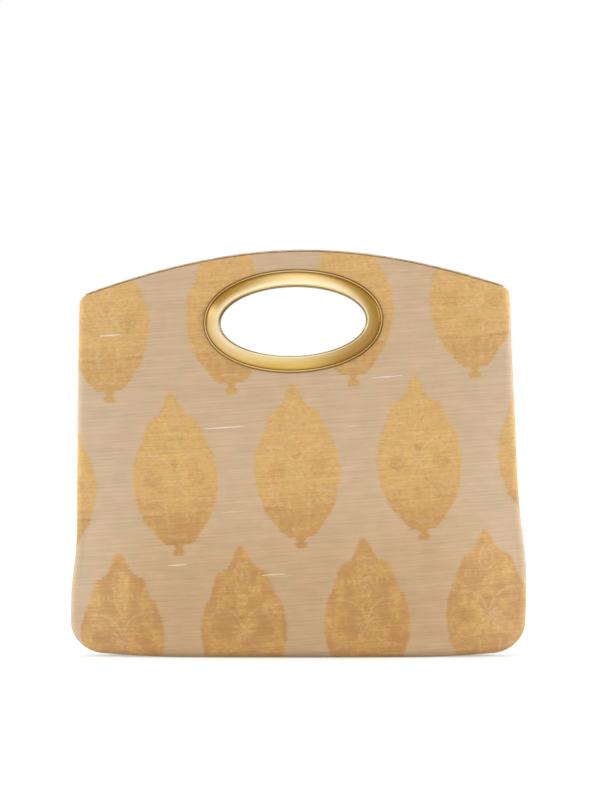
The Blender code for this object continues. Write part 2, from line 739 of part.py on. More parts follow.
def screw(name, centre, side, materials):
    """Small pan-head screw, its head inside the bag on the plate."""
    mesh = bmesh.new()
    seat = HANDLE_HALF_DEPTH - FACING_IN - GAP - PLATE_THICKNESS - GAP
    tip = HANDLE_HALF_DEPTH - FACING_IN + SCREW_GRIP
    profile = (
        (0.0, seat - SCREW_HEAD_HEIGHT),
        (SCREW_CROWN_RADIUS, seat - SCREW_HEAD_HEIGHT),
        (SCREW_HEAD_RADIUS, seat - SCREW_HEAD_HEIGHT / 2.0),
        (SCREW_HEAD_RADIUS, seat),
        (SCREW_RADIUS, seat),
        (SCREW_RADIUS, tip),
        (0.0, tip),
    )
    turned(mesh, centre, profile, side, SCREW_SIDES)
    return finish(name, mesh, materials)


def add_prongs(made, side):
    """Two flat legs on the back of a snap half, through the facing and the washer."""
    seat = HANDLE_HALF_DEPTH - FACING_IN - GAP
    tip = HANDLE_HALF_DEPTH - FACING_OUT + GAP + WASHER_THICKNESS
    root = seat - SNAP_BEVEL
    for index, hand in enumerate((-1.0, 1.0)):
        mesh = bmesh.new()
        centre = SNAP_CENTRE + np.array([hand * PRONG_SPREAD, 0.0])
        plan = rectangle(centre, PRONG_THICKNESS, PRONG_WIDTH)
        rows = [add_row(mesh, plan, np.full(4, side * depth)) for depth in (root, tip)]
        tube_rows(mesh, rows)
        boolean(made, cutter(f"{made.name}_prong_{index + 1}", mesh), "UNION")


def snap_socket(name, side, materials):
    """Magnet half of the snap, a thick disc with a hole for the stud's nub."""
    mesh = bmesh.new()
    seat = HANDLE_HALF_DEPTH - FACING_IN - GAP
    face = seat - SOCKET_HEIGHT
    profile = (
        (0.0, seat),
        (SNAP_RADIUS, seat),
        (SNAP_RADIUS, face + SNAP_BEVEL),
        (SNAP_RADIUS - SNAP_BEVEL, face),
        (SNAP_HOLE_RADIUS + SNAP_BEVEL, face),
        (SNAP_HOLE_RADIUS, face + SNAP_BEVEL),
        (SNAP_HOLE_RADIUS, face + SNAP_HOLE_DEPTH),
        (0.0, face + SNAP_HOLE_DEPTH),
    )
    turned(mesh, SNAP_CENTRE, profile, side, SNAP_SIDES)
    made = finish(name, mesh, materials)
    add_prongs(made, side)
    return made


def snap_stud(name, side, materials):
    """Steel half of the snap, a disc that fills the rest of the space, with a nub."""
    mesh = bmesh.new()
    seat = HANDLE_HALF_DEPTH - FACING_IN - GAP
    face = GAP - (seat - SOCKET_HEIGHT)
    nub = SNAP_HOLE_RADIUS - GAP
    profile = (
        (0.0, seat),
        (SNAP_RADIUS, seat),
        (SNAP_RADIUS, face + SNAP_BEVEL),
        (SNAP_RADIUS - SNAP_BEVEL, face),
        (nub, face),
        (nub, face - NUB_HEIGHT + SNAP_BEVEL),
        (nub - SNAP_BEVEL, face - NUB_HEIGHT),
        (0.0, face - NUB_HEIGHT),
    )
    turned(mesh, SNAP_CENTRE, profile, side, SNAP_SIDES)
    made = finish(name, mesh, materials)
    add_prongs(made, side)
    return made


def washer(name, side, materials):
    """Slotted disc that holds a snap half's prongs behind the facing."""
    near = HANDLE_HALF_DEPTH - FACING_OUT + GAP
    return sheet(
        name,
        side,
        [circle(SNAP_CENTRE, WASHER_RADIUS, SNAP_SIDES), *prong_slots()],
        lambda plan: np.full(len(plan), near + WASHER_THICKNESS),
        lambda plan: np.full(len(plan), near),
        materials,
    )


def clear_scene():
    for old in list(bpy.data.objects):
        bpy.data.objects.remove(old, do_unlink=True)


def main():
    clear_scene()
    silk = material("beige slub silk", (0.610, 0.451, 0.283), 0.55, 0.0)
    gold_weave = material("gold thread weave", (0.680, 0.413, 0.147), 0.42, 0.0)
    stiff = material("stiffener board", (0.700, 0.680, 0.620), 0.90, 0.0)
    satin = material("facing satin", (0.300, 0.190, 0.080), 0.45, 0.0)
    lining_cloth = material("lining satin", (0.480, 0.340, 0.180), 0.50, 0.0)
    bound = material("bound edge", (0.230, 0.150, 0.060), 0.60, 0.0)
    brass = material("brushed gold metal", (0.780, 0.560, 0.240), 0.28, 1.0)
    plated = material("plated steel", (0.620, 0.600, 0.560), 0.30, 1.0)
    for half, side in (("front", FRONT), ("back", BACK)):
        panel(f"{half}_panel", side, [silk, gold_weave])
        board(f"{half}_stiffener", side, [stiff])
        facing(f"{half}_facing", side, [satin])
        lining(f"{half}_lining", side, [lining_cloth])
        piping(f"{half}_piping", side, [bound])
        handle_frame(f"{half}_handle_frame", side, [brass])
        handle_plate(f"{half}_handle_plate", side, [plated])
        for index, centre in enumerate(screw_places()):
            screw(f"{half}_screw_{index + 1}", centre, side, [plated])
    snap_socket("snap_socket", FRONT, [plated])
    snap_stud("snap_stud", BACK, [plated])
    washer("snap_socket_washer", FRONT, [plated])
    washer("snap_stud_washer", BACK, [plated])


main()
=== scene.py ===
import math

import bpy
import numpy as np
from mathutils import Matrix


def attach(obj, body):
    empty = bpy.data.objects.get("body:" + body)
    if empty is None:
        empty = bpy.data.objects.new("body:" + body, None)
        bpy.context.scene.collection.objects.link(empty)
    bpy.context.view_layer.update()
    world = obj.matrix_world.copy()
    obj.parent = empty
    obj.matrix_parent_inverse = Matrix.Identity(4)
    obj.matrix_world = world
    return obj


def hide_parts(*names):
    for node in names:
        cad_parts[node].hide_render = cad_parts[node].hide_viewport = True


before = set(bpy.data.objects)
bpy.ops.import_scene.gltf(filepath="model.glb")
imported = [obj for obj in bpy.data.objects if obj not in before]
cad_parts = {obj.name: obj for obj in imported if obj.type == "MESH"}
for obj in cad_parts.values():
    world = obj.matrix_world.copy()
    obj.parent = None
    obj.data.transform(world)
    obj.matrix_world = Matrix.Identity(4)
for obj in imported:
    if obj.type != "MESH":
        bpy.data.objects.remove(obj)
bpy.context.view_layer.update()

print("frame loaded,", len(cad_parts), "solids")

# Outline and fullness of the bag, in metres, the same as its solids have
bagForm = {
    "height": 0.2818,
    "topHalfWidth": 0.1485,
    "baseHalfWidth": 0.1566,
    "flare": 0.0028,  # the filled lower corners push the sides out
    "flareHeight": 0.046,
    "flareReach": 0.036,
    "cornerRadius": 0.0245,
    "bottomRise": 0.0022,
    "flatHalfWidth": 0.075,
    "archDrop": 0.0284,
    "archBend": 0.172,
    "topCornerRadius": 0.0045,
    "leastCorner": 0.0003,
    "leanStart": 0.060,
    "leanTilt": math.tan(math.radians(1.25)),
    "leanShift": -0.0026,
    "sway": 0.0016,  # the full lower part the other way
    "swayHeight": 0.072,
    "swayReach": 0.028,
    "bellyDepth": 0.0190,
    "bellyHeight": 0.050,
    "neckHeight": 0.1823,
    "footTuck": 0.0025,
    "mouthDepth": 0.0068,
    "sideDepth": 0.0046,
    "fullness": 2.4,
    "seamRound": 0.0060,
    "seamEdge": 0.0008,
    "bottomShare": 0.60,
}

# Layers of one half, from the outside in
layers = {
    "gap": 0.0003,
    "silk": 0.0012,
    "facingOut": 0.0026,
    "facingIn": 0.0032,
    "liningIn": 0.0031,
    "lining": 0.0005,
    "pipingHeight": 0.0013,
    "facingBottom": 0.1653,
}

# The oval let into each side, and the snap under it
ovalForm = {
    "halfWidth": 0.0507,
    "halfHeight": 0.0242,
    "height": 0.2323,
    "shift": -0.0010,
    "tilt": math.radians(1.6),
    "band": 0.0118,
    "clothEdge": 0.0055,
    "depth": 0.0070,
    "blend": 0.026,
    "snapHeight": 0.1823,
    "snapRadius": 0.0090,
}


# Three s squared minus two s cubed, with s held between 0 and 1
def eased(share):
    share = np.clip(share, 0.0, 1.0)
    return share * share * (3.0 - 2.0 * share)


# Straight taper from base to top, plus a bell-shaped swelling at the lower corners
def halfWidthAt(z):
    f = bagForm
    taper = (f["baseHalfWidth"] - f["topHalfWidth"]) * (1.0 - z / f["height"])
    return f["topHalfWidth"] + taper + f["flare"] * np.exp(-(((z - f["flareHeight"]) / f["flareReach"]) ** 2))


# Height of the mouth's edge: a hyperbola that falls by archDrop at the corners
def archAt(x):
    f = bagForm
    bend = np.sqrt(1.0 + (x / f["archBend"]) ** 2) - 1.0
    whole = math.sqrt(1.0 + (f["topHalfWidth"] / f["archBend"]) ** 2) - 1.0
    return f["height"] - f["archDrop"] * bend / whole


# Lift of the bottom edge off the floor, a square law outside its flat stretch
def bottomAt(x):
    f = bagForm
    reach = halfWidthAt(f["cornerRadius"]) - f["cornerRadius"] - f["flatHalfWidth"]
    return f["bottomRise"] * np.clip((np.abs(x) - f["flatHalfWidth"]) / reach, 0.0, 1.0) ** 2


def leanShare(z):
    return eased((z - bagForm["leanStart"]) / (bagForm["height"] - bagForm["leanStart"]))


# How far the middle line is from upright: the top goes over, and a bell-shaped sway is below it
def sideways(z):
    f = bagForm
    bell = np.exp(-(((z - f["swayHeight"]) / f["swayReach"]) ** 2))
    return f["leanShift"] * leanShare(z) + f["sway"] * bell


# The bag leans: the middle line's shift, and a shear that grows with height
def leaned(x, z):
    return x + sideways(z), z + leanShare(z) * x * bagForm["leanTilt"]


ovalCentre = leaned(ovalForm["shift"], ovalForm["height"])
snapCentre = leaned(ovalForm["shift"], ovalForm["snapHeight"])


# Turns from the bag's directions to the tilted oval's own, about its centre
def ovalLocal(x, z):
    cosine, sine = math.cos(ovalForm["tilt"]), math.sin(ovalForm["tilt"])
    dx, dz = x - ovalCentre[0], z - ovalCentre[1]
    return dx * cosine + dz * sine, dz * cosine - dx * sine


# Ellipse at an angle, moved out along its normal by the offset, tilted and put in place
def ovalPoint(angle, offset):
    a, b = ovalForm["halfWidth"], ovalForm["halfHeight"]
    across, up = np.cos(angle), np.sin(angle)
    length = np.hypot(across * b, up * a)
    x = across * (a + offset * b / length)
    z = up * (b + offset * a / length)
    cosine, sine = math.cos(ovalForm["tilt"]), math.sin(ovalForm["tilt"])
    return x * cosine - z * sine + ovalCentre[0], x * sine + z * cosine + ovalCentre[1]


# How far outside the oval's opening a point is, to first order
def pastOval(x, z):
    a, b = ovalForm["halfWidth"], ovalForm["halfHeight"]
    dx, dz = ovalLocal(x, z)
    size = np.maximum(np.hypot(dx / a, dz / b), 1e-9)
    return (size - 1.0) * size / np.maximum(np.hypot(dx / a**2, dz / b**2), 1e-9)


# Distance of the outer cloth from the middle plane: a cosine belly between foot and mouth, which
# thins to the side seams by a power law and is pressed flat round the oval and the snap
def outerDepth(x, z):
    f = bagForm
    climb = np.clip((z - f["bellyHeight"]) / (f["neckHeight"] - f["bellyHeight"]), 0.0, 1.0)
    tuck = f["footTuck"] * np.clip((f["bellyHeight"] - z) / f["bellyHeight"], 0.0, 1.0) ** 2
    belly = 0.5 * (1.0 + np.cos(math.pi * climb))
    centre = f["mouthDepth"] + (f["bellyDepth"] - f["mouthDepth"]) * belly - tuck
    across = np.abs(x - sideways(z)) / (halfWidthAt(z) - f["seamRound"])
    free = f["sideDepth"] + (centre - f["sideDepth"]) * (1.0 - np.minimum(across, 1.0) ** f["fullness"])
    fromSnap = np.hypot(x - snapCentre[0], z - snapCentre[1]) - ovalForm["snapRadius"]
    blend = eased(np.minimum(pastOval(x, z) - ovalForm["band"], fromSnap) / ovalForm["blend"])
    return ovalForm["depth"] + (free - ovalForm["depth"]) * blend


# Distance in from the side and bottom seams of a rounded outline, and how squarely that is
# the bottom: 1 over the flat foot, 0 beside a side
def seamDistance(x, z):
    radius = bagForm["cornerRadius"]
    fromSide = np.maximum(radius - (halfWidthAt(z) - np.abs(x)), 0.0)
    fromFoot = np.maximum(radius - (z - bottomAt(x)), 0.0)
    near = np.hypot(fromSide, fromFoot)
    return radius - near, (fromFoot / np.maximum(near, 1e-9)) ** 2


# Rows of points become quads. A row or a column may close on itself, and open ends of closed
# columns may be capped by one face each
def gridFaces(rows, columns, closeRows=False, closeColumns=False, caps=False):
    index = np.arange(rows * columns).reshape(rows, columns)
    ends = [index[0][::-1], index[-1]] if caps else []
    if closeColumns:
        index = np.concatenate([index, index[:, :1]], axis=1)
    if closeRows:
        index = np.concatenate([index, index[:1]], axis=0)
    quads = np.stack([index[:-1, :-1], index[:-1, 1:], index[1:, 1:], index[1:, :-1]], axis=-1)
    return quads.reshape(-1, 4), ends


# Six times the volume inside the quads, positive when they face outwards
def signedVolume(points, quads):
    a, b, c, d = (points[quads[:, k]] for k in range(4))
    return float((np.cross(a, b) * c).sum() + (np.cross(a, c) * d).sum())


# One object from several grids, each given as points in rows, whether its rows and columns
# close, whether its ends are capped, and its places on the cloth if it has any
def makePiece(name, grids, materials, replaces=(), sharp=40.0, inwards=False):
    points, corners, starts, places, cuts, first = [], [], [], [], [], 0
    for grid in grids:
        block = grid["points"].reshape(-1, 3)
        rows, columns = grid["points"].shape[:2]
        closings = [grid.get(key) for key in ("closeRows", "closeColumns", "caps")]
        quads, ends = gridFaces(rows, columns, *closings)
        closed = grid.get("closeColumns") and (grid.get("closeRows") or grid.get("caps"))
        turned = signedVolume(block, quads) < 0.0 if closed else inwards
        if turned:
            quads, ends = quads[:, ::-1], [end[::-1] for end in ends]
        cuts.append(np.repeat(grid.get("material", np.zeros(rows, int)), columns)[quads[:, 0]])
        cuts.append(np.zeros(len(ends), int))
        flat = np.concatenate([quads.ravel(), *ends]).astype(int)
        sizes = np.concatenate([np.full(len(quads), 4), [len(end) for end in ends]]).astype(int)
        corners.append(flat + first)
        starts.append(sizes)
        places.append(grid["cloth"].reshape(-1, 2)[flat] if "cloth" in grid else np.zeros((len(flat), 2)))
        points.append(block)
        first += len(block)
    points, corners, sizes = np.concatenate(points), np.concatenate(corners), np.concatenate(starts)
    mesh = bpy.data.meshes.new(name)
    mesh.vertices.add(len(points))
    mesh.vertices.foreach_set("co", points.ravel())
    mesh.loops.add(len(corners))
    mesh.loops.foreach_set("vertex_index", corners)
    mesh.polygons.add(len(sizes))
    mesh.polygons.foreach_set("loop_start", np.concatenate([[0], np.cumsum(sizes)[:-1]]))
    mesh.polygons.foreach_set("material_index", np.concatenate(cuts))
    mesh.uv_layers.new(name="cloth").data.foreach_set("uv", np.concatenate(places).ravel())
    mesh.update(calc_edges=True)
    mesh.validate()
    mesh.shade_smooth()
    mesh.set_sharp_from_angle(angle=math.radians(sharp))
    for material in materials:
        mesh.materials.append(material)
    made = bpy.data.objects.new(name, mesh)
    bpy.context.scene.collection.objects.link(made)
    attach(made, "root")
    if replaces:
        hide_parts(*replaces)
    print("made", name, len(sizes), "faces")
    return made


# A shader socket that plain sums can be written with: every operation adds one Math node
class Wire:
    def __init__(self, tree, socket):
        self.tree, self.socket = tree, socket

    def math(self, operation, *others):
        node = self.tree.nodes.new("ShaderNodeMath")
        node.operation = operation
        for slot, item in zip(node.inputs, (self, *others)):
            if isinstance(item, Wire):
                self.tree.links.new(item.socket, slot)
            else:
                slot.default_value = item
        return Wire(self.tree, node.outputs[0])

    def __add__(self, other):
        return self.math("ADD", other)

    def __sub__(self, other):
        return self.math("SUBTRACT", other)

    def __mul__(self, other):
        return self.math("MULTIPLY", other)

    def __truediv__(self, other):
        return self.math("DIVIDE", other)

    def away(self):
        return self.math("ABSOLUTE")

    def floor(self):
        return self.math("FLOOR")

    def larger(self, other):
        return self.math("MAXIMUM", other)

    # 0 below the low value, 1 above the high one and eased between, or the other way round
    def step(self, low, high):
        node = self.tree.nodes.new("ShaderNodeMapRange")
        node.interpolation_type = "SMOOTHSTEP"
        self.tree.links.new(self.socket, node.inputs["Value"])
        node.inputs["From Min"].default_value = min(low, high)
        node.inputs["From Max"].default_value = max(low, high)
        node.inputs["To Min"].default_value = 0.0 if low < high else 1.0
        node.inputs["To Max"].default_value = 1.0 if low < high else 0.0
        return Wire(self.tree, node.outputs["Result"])


white = (1.0, 1.0, 1.0)  # also leaves a colour as it is where it multiplies one


def hypotenuse(one, other):
    return (one * one + other * other).math("SQRT")


# 1 between two soft edges and 0 outside them
def between(value, edges):
    return value.step(*edges[0]) * value.step(*edges[1])


def newMaterial(name, colour, roughness, metallic=0.0, specular=0.5):
    material = bpy.data.materials.new(name)
    material.use_nodes = True
    shader = material.node_tree.nodes["Principled BSDF"]
    shader.inputs["Base Color"].default_value = (*colour, 1.0)
    shader.inputs["Roughness"].default_value = roughness
    shader.inputs["Metallic"].default_value = metallic
    shader.inputs["Specular IOR Level"].default_value = specular
    material.diffuse_color = (*colour, 1.0)
    return material, material.node_tree, shader


# Noise over two or three wires, about 0.5 in the middle
def noiseOf(tree, x, y, detail=2.0, z=0.0):
    join = tree.nodes.new("ShaderNodeCombineXYZ")
    for slot, item in zip(join.inputs, (x, y, z)):
        if isinstance(item, Wire):
            tree.links.new(item.socket, slot)
        else:
            slot.default_value = item
    node = tree.nodes.new("ShaderNodeTexNoise")
    node.inputs["Scale"].default_value = 1.0
    node.inputs["Detail"].default_value = detail
    tree.links.new(join.outputs[0], node.inputs["Vector"])
    return Wire(tree, node.outputs["Fac"])


# Sockets 6 and 7 of a Mix node are its colours, and 2 is the colour that comes out
def mixed(tree, factor, one, other):
    node = tree.nodes.new("ShaderNodeMix")
    node.data_type = "RGBA"
    tree.links.new(factor.socket, node.inputs[0])
    for slot, item in ((node.inputs[6], one), (node.inputs[7], other)):
        if isinstance(item, tuple):
            slot.default_value = (*item, 1.0)
        else:
            tree.links.new(item, slot)
    return node.outputs[2]


def multiplied(tree, one, other):
    node = tree.nodes.new("ShaderNodeMix")
    node.data_type, node.blend_type = "RGBA", "MULTIPLY"
    node.inputs[0].default_value = 1.0
    tree.links.new(one, node.inputs[6])
    tree.links.new(other, node.inputs[7])
    return node.outputs[2]


def bumpFrom(tree, shader, height, distance):
    node = tree.nodes.new("ShaderNodeBump")
    node.inputs["Distance"].default_value = distance
    tree.links.new(height.socket, node.inputs["Height"])
    tree.links.new(node.outputs["Normal"], shader.inputs["Normal"])


def clothPlace(tree):
    node = tree.nodes.new("ShaderNodeUVMap")
    node.uv_map = "cloth"
    split = tree.nodes.new("ShaderNodeSeparateXYZ")
    tree.links.new(node.outputs["UV"], split.inputs[0])
    return Wire(tree, split.outputs["X"]), Wire(tree, split.outputs["Y"])


def objectPlace(tree):
    node = tree.nodes.new("ShaderNodeTexCoord")
    split = tree.nodes.new("ShaderNodeSeparateXYZ")
    tree.links.new(node.outputs["Object"], split.inputs[0])
    return [Wire(tree, socket) for socket in split.outputs]


# The woven cloth, in metres. The leaf's profile gives its half width, as a share of the widest,
# from the tip at 0 to the foot at 1. Pulled threads are given by their ends and height
silkLook = {
    "ground": (0.600, 0.432, 0.278),
    "groundWarm": (0.616, 0.434, 0.284),
    "groundCool": (0.592, 0.434, 0.274),
    "slub": (0.800, 0.690, 0.540),
    "gold": (0.630, 0.390, 0.150),
    "goldBright": (0.675, 0.425, 0.150),
    "goldWarm": (0.660, 0.370, 0.165),
    "goldDeep": (0.490, 0.262, 0.095),
    "goldFoot": (0.535, 0.300, 0.122),
    "thread": (0.760, 0.545, 0.350),
    "loose": (0.930, 0.860, 0.760),
    "streaks": ((0.925, 0.918, 0.905), (1.045, 1.045, 1.048)),  # from here to the painted side light they multiply
    "sunk": (0.860, 0.845, 0.830),
    "clouds": ((0.975, 0.972, 0.968), (1.020, 1.020, 1.020)),
    "paintedFootShade": (0.955, 0.905, 0.805),  # painted shade, darker and warmer in the middle of the foot
    "paintedSideLight": (1.025, 1.050, 1.100),  # painted light, paler and cooler towards the side seams
    "ribSpacing": 0.00085,
    "relief": 0.00018,
    "roughness": (0.58, -0.10),  # of the ground, and what a leaf adds
    "sheen": (0.50, 0.32),  # weight and roughness
    "sheenTint": (1.0, 0.94, 0.84, 1.0),
    "clothNoise": {  # changes per metre across and up the cloth, detail, and a layer of its own
        "waver": (330.0, 330.0, 1.0, 12.0),
        "cloud": (70.0, 90.0, 1.0, 0.0),
        "tint": (95.0, 60.0, 1.0, 4.0),
        "patch": (150.0, 130.0, 2.0, 6.0),
        "fleck": (310.0, 520.0, 1.0, 8.0),
    },
    "weftNoise": {  # the same, drawn out along the weft
        "edge": (230.0, 260.0, 1.0, 0.0),
        "edgeThreads": (420.0, 900.0, 2.0, 0.0),
        "thick": (18.0, 640.0, 3.0, 0.0),
        "thin": (26.0, 1300.0, 1.0, 5.0),
        "slub": (34.0, 620.0, 1.0, 9.0),
        "sunk": (30.0, 560.0, 1.0, 14.0),
        "broken": (500.0, 700.0, 1.0, 2.0),
    },
    "from": {  # values of the noise at which each begins to show and is full
        "groundWarm": (0.38, 0.64),
        "goldBright": (0.36, 0.54),
        "goldWarm": (0.50, 0.66),
        "deepFleck": (0.50, 0.68),
        "paleFleck": (0.46, 0.30),
        "goldFoot": (0.36, 0.62),
        "slub": (0.70, 0.80),
        "sunk": (0.66, 0.78),
        "broken": (0.30, 0.60),
        "streaks": (0.36, 0.64),
        "clouds": (0.36, 0.64),
    },
    "share": {  # how much of each shows there
        "goldWarm": 0.8,
        "darkLine": 0.55,
        "slub": 0.42,
        "slubOnLeaf": -0.75,
        "pulled": 0.80,
        "sunk": 0.8,
        "thick": 0.55,
        "thin": 0.45,
    },
    "footShare": {  # how much of each shows higher up, and what the foot of the bag adds
        "deepFleck": (0.22, 0.20),
        "paleFleck": (0.14, 0.12),
        "lowEnd": (0.40, 0.10),
        "paleLine": (0.27, 0.08),
    },
    "goldFootShare": (0.20, 0.60),
    "raised": {  # shares of the relief
        "streak": 0.40,
        "slub": 0.6,
        "pulled": 0.9,
        "sunk": -0.4,
        "rib": 0.10,
        "leaf": 0.7,
        "figure": -0.3,
    },
    "footHeights": (0.125, 0.055),  # heights and half widths of the cloth, from none to all
    "shiftHeights": (0.210, 0.030),
    "liftHeights": (0.100, 0.060),
    "paintedFootShadeWidths": (0.160, 0.090),
    "paintedSideLightWidths": (0.090, 0.145),
    "pitch": 0.0847,
    "rowTilt": math.radians(3.9),
    "rowDrop": 0.1097,
    "columnTilt": math.radians(2.3),
    "foot": (0.0007, 0.0749),
    "lowShift": 0.0024,  # the lower rows are drawn a little to the right, and the lowest up
    "lowLift": 0.0017,
    "length": 0.1145,
    "halfWidth": 0.0298,
    "blade": 0.931,
    "stepUp": 0.0020,
    "softness": 0.0013,
    "tip": (0.004, 0.003),  # how far past its tip a leaf goes on, and how soft that end is
    "footSoftness": 0.0004,
    "below": 0.05,  # share of the repeat that counts to the leaf above it
    "lowEnd": (0.55, 1.0),
    "edgeWaver": (0.0036, 0.0024),
    "figureWaver": 0.0052,
    "profile": (
        (0.000, 0.04),
        (0.048, 0.14),
        (0.108, 0.24),
        (0.144, 0.34),
        (0.160, 0.48),
        (0.176, 0.58),
        (0.228, 0.64),
        (0.287, 0.72),
        (0.347, 0.85),
        (0.407, 0.94),
        (0.527, 1.00),
        (0.647, 0.94),
        (0.766, 0.79),
        (0.826, 0.61),
        (0.886, 0.46),
        (0.922, 0.31),
        (0.936, 0.12),
        (0.958, 0.08),
        (0.972, 0.14),
        (1.000, 0.13),
    ),
    "pulled": (
        (-0.1380, -0.1220, 0.2225),
        (-0.0672, -0.0350, 0.1586),
        (-0.0262, -0.0076, 0.0578),
        (0.0480, 0.0735, 0.1938),
        (-0.0900, -0.0760, 0.0640),
    ),
    "pulledWidth": (0.0007, 0.0002),
    "pulledTaper": 0.0003,
    "pulledEnds": (1.0, 0.75),
}


# Half width of the leaf, read from the profile curve at a share of its length from the tip
def leafProfile(tree, share, look):
    node = tree.nodes.new("ShaderNodeFloatCurve")
    curve = node.mapping.curves[0]
    curve.points[0].location, curve.points[1].location = look["profile"][0], look["profile"][-1]
    for place in look["profile"][1:-1]:
        curve.points.new(*place)
    for point in curve.points:
        point.handle_type = "VECTOR"
    node.mapping.update()
    tree.links.new(share.socket, node.inputs["Value"])
    return Wire(tree, node.outputs[0]) * look["halfWidth"]


# Place in the nearest leaf of the even or odd rows, by inverting the slanted repeat: metres
# across its axis and metres up from its foot
def leafPlace(u, v, odd, look):
    ax, az = look["pitch"] * math.cos(look["rowTilt"]), look["pitch"] * math.sin(look["rowTilt"])
    cx, cz = -look["rowDrop"] * math.sin(look["columnTilt"]), look["rowDrop"] * math.cos(look["columnTilt"])
    du = u - (look["foot"][0] + odd * (0.5 * ax + cx))
    dv = v - (look["foot"][1] + odd * (0.5 * az + cz))
    area = 2.0 * (ax * cz - az * cx)
    along = (du * (2.0 * cz) - dv * (2.0 * cx)) * (1.0 / area)
    up = (dv * ax - du * az) * (1.0 / area)
    across = along - (along + 0.5).floor()
    up = up - (up + look["below"]).floor()
    return across * look["pitch"], up * (2.0 * look["rowDrop"])


# A soft line where the value is near zero
def line(value, half):
    return value.away().step(half * 1.15, half * 0.15)


# The drawing inside a leaf. Places across go from 0 on its axis to 1 at its widest, and places
# along from 0 at the tip to 1 at the blade's end. Soft edges go from none to all
leafDrawing = {
    "bud": (0.0, 0.205, 6.2, 13.5),  # ovals: place across and along, and how tight each way
    "ring": (0.0, 0.355, 10.0, 32.0),
    "curl": (0.62, 0.450, 11.0, 30.0),
    "bloom": (0.0, 0.555, 3.4, 12.5),
    "eye": (0.0, 0.470, 9.5, 30.0),
    "lobe": (0.50, 0.560, 4.2, 17.0),
    "budLine": 0.26,  # half widths of lines
    "veinLine": 0.035,
    "ringLine": 0.40,
    "curlLine": 0.36,
    "vaseLine": 0.050,
    "barLine": 0.012,
    "endLine": 0.014,
    "veinEnds": (0.045, 0.030),
    "dashes": (0.290, 52.0),  # place along, and how close together
    "dashCut": (0.0, 0.7),
    "dashEnds": (0.026, 0.014),
    "dashSpan": ((0.60, 0.52), (0.06, 0.10)),
    "upperSpray": (-0.395, -0.150, -5.5, 0.014),  # place, fall, how fast it falls, line
    "lowerSpray": (-0.715, 0.160, -5.0, 0.013),
    "sprayEnds": (0.86, 0.72),
    "curlShare": 0.7,
    "petals": (0.27, 9.0),  # squareness and count
    "petalCut": (-0.1, 0.6),
    "petalSpan": ((1.05, 0.75), (0.16, 0.30)),
    "vase": (0.24, 0.785),
    "vaseEnds": (0.08, 0.055),
    "bars": 0.775,
    "barSpan": ((0.32, 0.38), (0.90, 0.80)),
    "ends": 0.945,
    "endSpan": (0.26, 0.18),
    "eyeEdge": (1.0, 0.6),
    "lobeEdge": (1.1, 0.7),
    "lobeShare": 0.75,
    "stalks": (0.885, 30.0),
    "stalkCut": (0.1, 0.9),
    "stalkEnds": (0.080, 0.04),
    "stalkShare": 0.6,
    # a dark line just under the pale bars: painted shade
    "shade": 0.800,
    "shadeSpan": (0.30, 0.40),
}


# Distance from an oval's centre, which is 1 on the oval
def ovalAway(p, s, oval):
    across, along, tightAcross, tightAlong = oval
    return hypotenuse((p - across) * tightAcross, (s - along) * tightAlong)


# A line that falls away by an exponential from the axis outwards
def sprayLine(p, s, spray):
    place, fall, fast, half = spray
    return line(s + place + (p * fast).math("EXPONENT") * fall, half)


# A row of short strokes: the upper part of a sine across, near one place along
def strokes(p, s, row, cut, ends):
    return (p * row[1]).math("SINE").step(*cut) * (s - row[0]).away().step(*ends)


# A bud in the tip over a row of dashes and a ring, then a flower whose petals ray out between
# two sprays, and a vase at the end. Gives the pale lines and the dark ones, with painted shade under the bars
def leafFigure(p, s):
    d = leafDrawing
    bud = line(ovalAway(p, s, d["bud"]) - 1.0, d["budLine"])
    budVein = line(p, d["veinLine"]) * (s - d["bud"][1]).away().step(*d["veinEnds"])
    dashes = strokes(p, s, d["dashes"], d["dashCut"], d["dashEnds"]) * between(p, d["dashSpan"])
    ring = line(ovalAway(p, s, d["ring"]) - 1.0, d["ringLine"])
    sprays = sprayLine(p, s, d["upperSpray"]).larger(sprayLine(p, s, d["lowerSpray"]))
    curl = line(ovalAway(p, s, d["curl"]) - 1.0, d["curlLine"])
    sprays = (sprays * p.step(*d["sprayEnds"])).larger(curl * d["curlShare"])
    square, count = d["petals"]
    petals = ((s - d["bloom"][1]).math("ARCTAN2", p * square) * count).math("SINE").step(*d["petalCut"])
    petals = petals * between(ovalAway(p, s, d["bloom"]), d["petalSpan"])
    vase = line(p - d["vase"][0], d["vaseLine"]) * (s - d["vase"][1]).away().step(*d["vaseEnds"])
    bars = line(s - d["bars"], d["barLine"]) * between(p, d["barSpan"])
    ends = line(s - d["ends"], d["endLine"]) * p.step(*d["endSpan"])
    pale = bud.larger(budVein).larger(dashes).larger(ring).larger(sprays)
    pale = pale.larger(petals).larger(vase).larger(bars).larger(ends)
    eye = ovalAway(p, s, d["eye"]).step(*d["eyeEdge"])
    lobes = ovalAway(p, s, d["lobe"]).step(*d["lobeEdge"]) * d["lobeShare"]
    stalks = strokes(p, s, d["stalks"], d["stalkCut"], d["stalkEnds"]) * d["stalkShare"]
    # painted shade: a dark line just under the pale bars
    shade = line(s - d["shade"], d["barLine"]) * p.step(*d["shadeSpan"])
    return pale, stalks.larger(eye).larger(lobes).larger(shade)


# Loose pale threads that lie on the cloth: long, thin and a little thicker in their middle
def pulledThreads(u, weft, look):
    found = None
    for start, end, height in look["pulled"]:
        middle, half = (start + end) / 2.0, (end - start) / 2.0
        along = (u - middle).away() * (1.0 / half)
        off = (weft - (height - middle * math.tan(look["rowTilt"]))).away()
        width = (off + along * look["pulledTaper"]).step(*look["pulledWidth"])
        one = width * along.step(*look["pulledEnds"])
        found = one if found is None else found.larger(one)
    return found


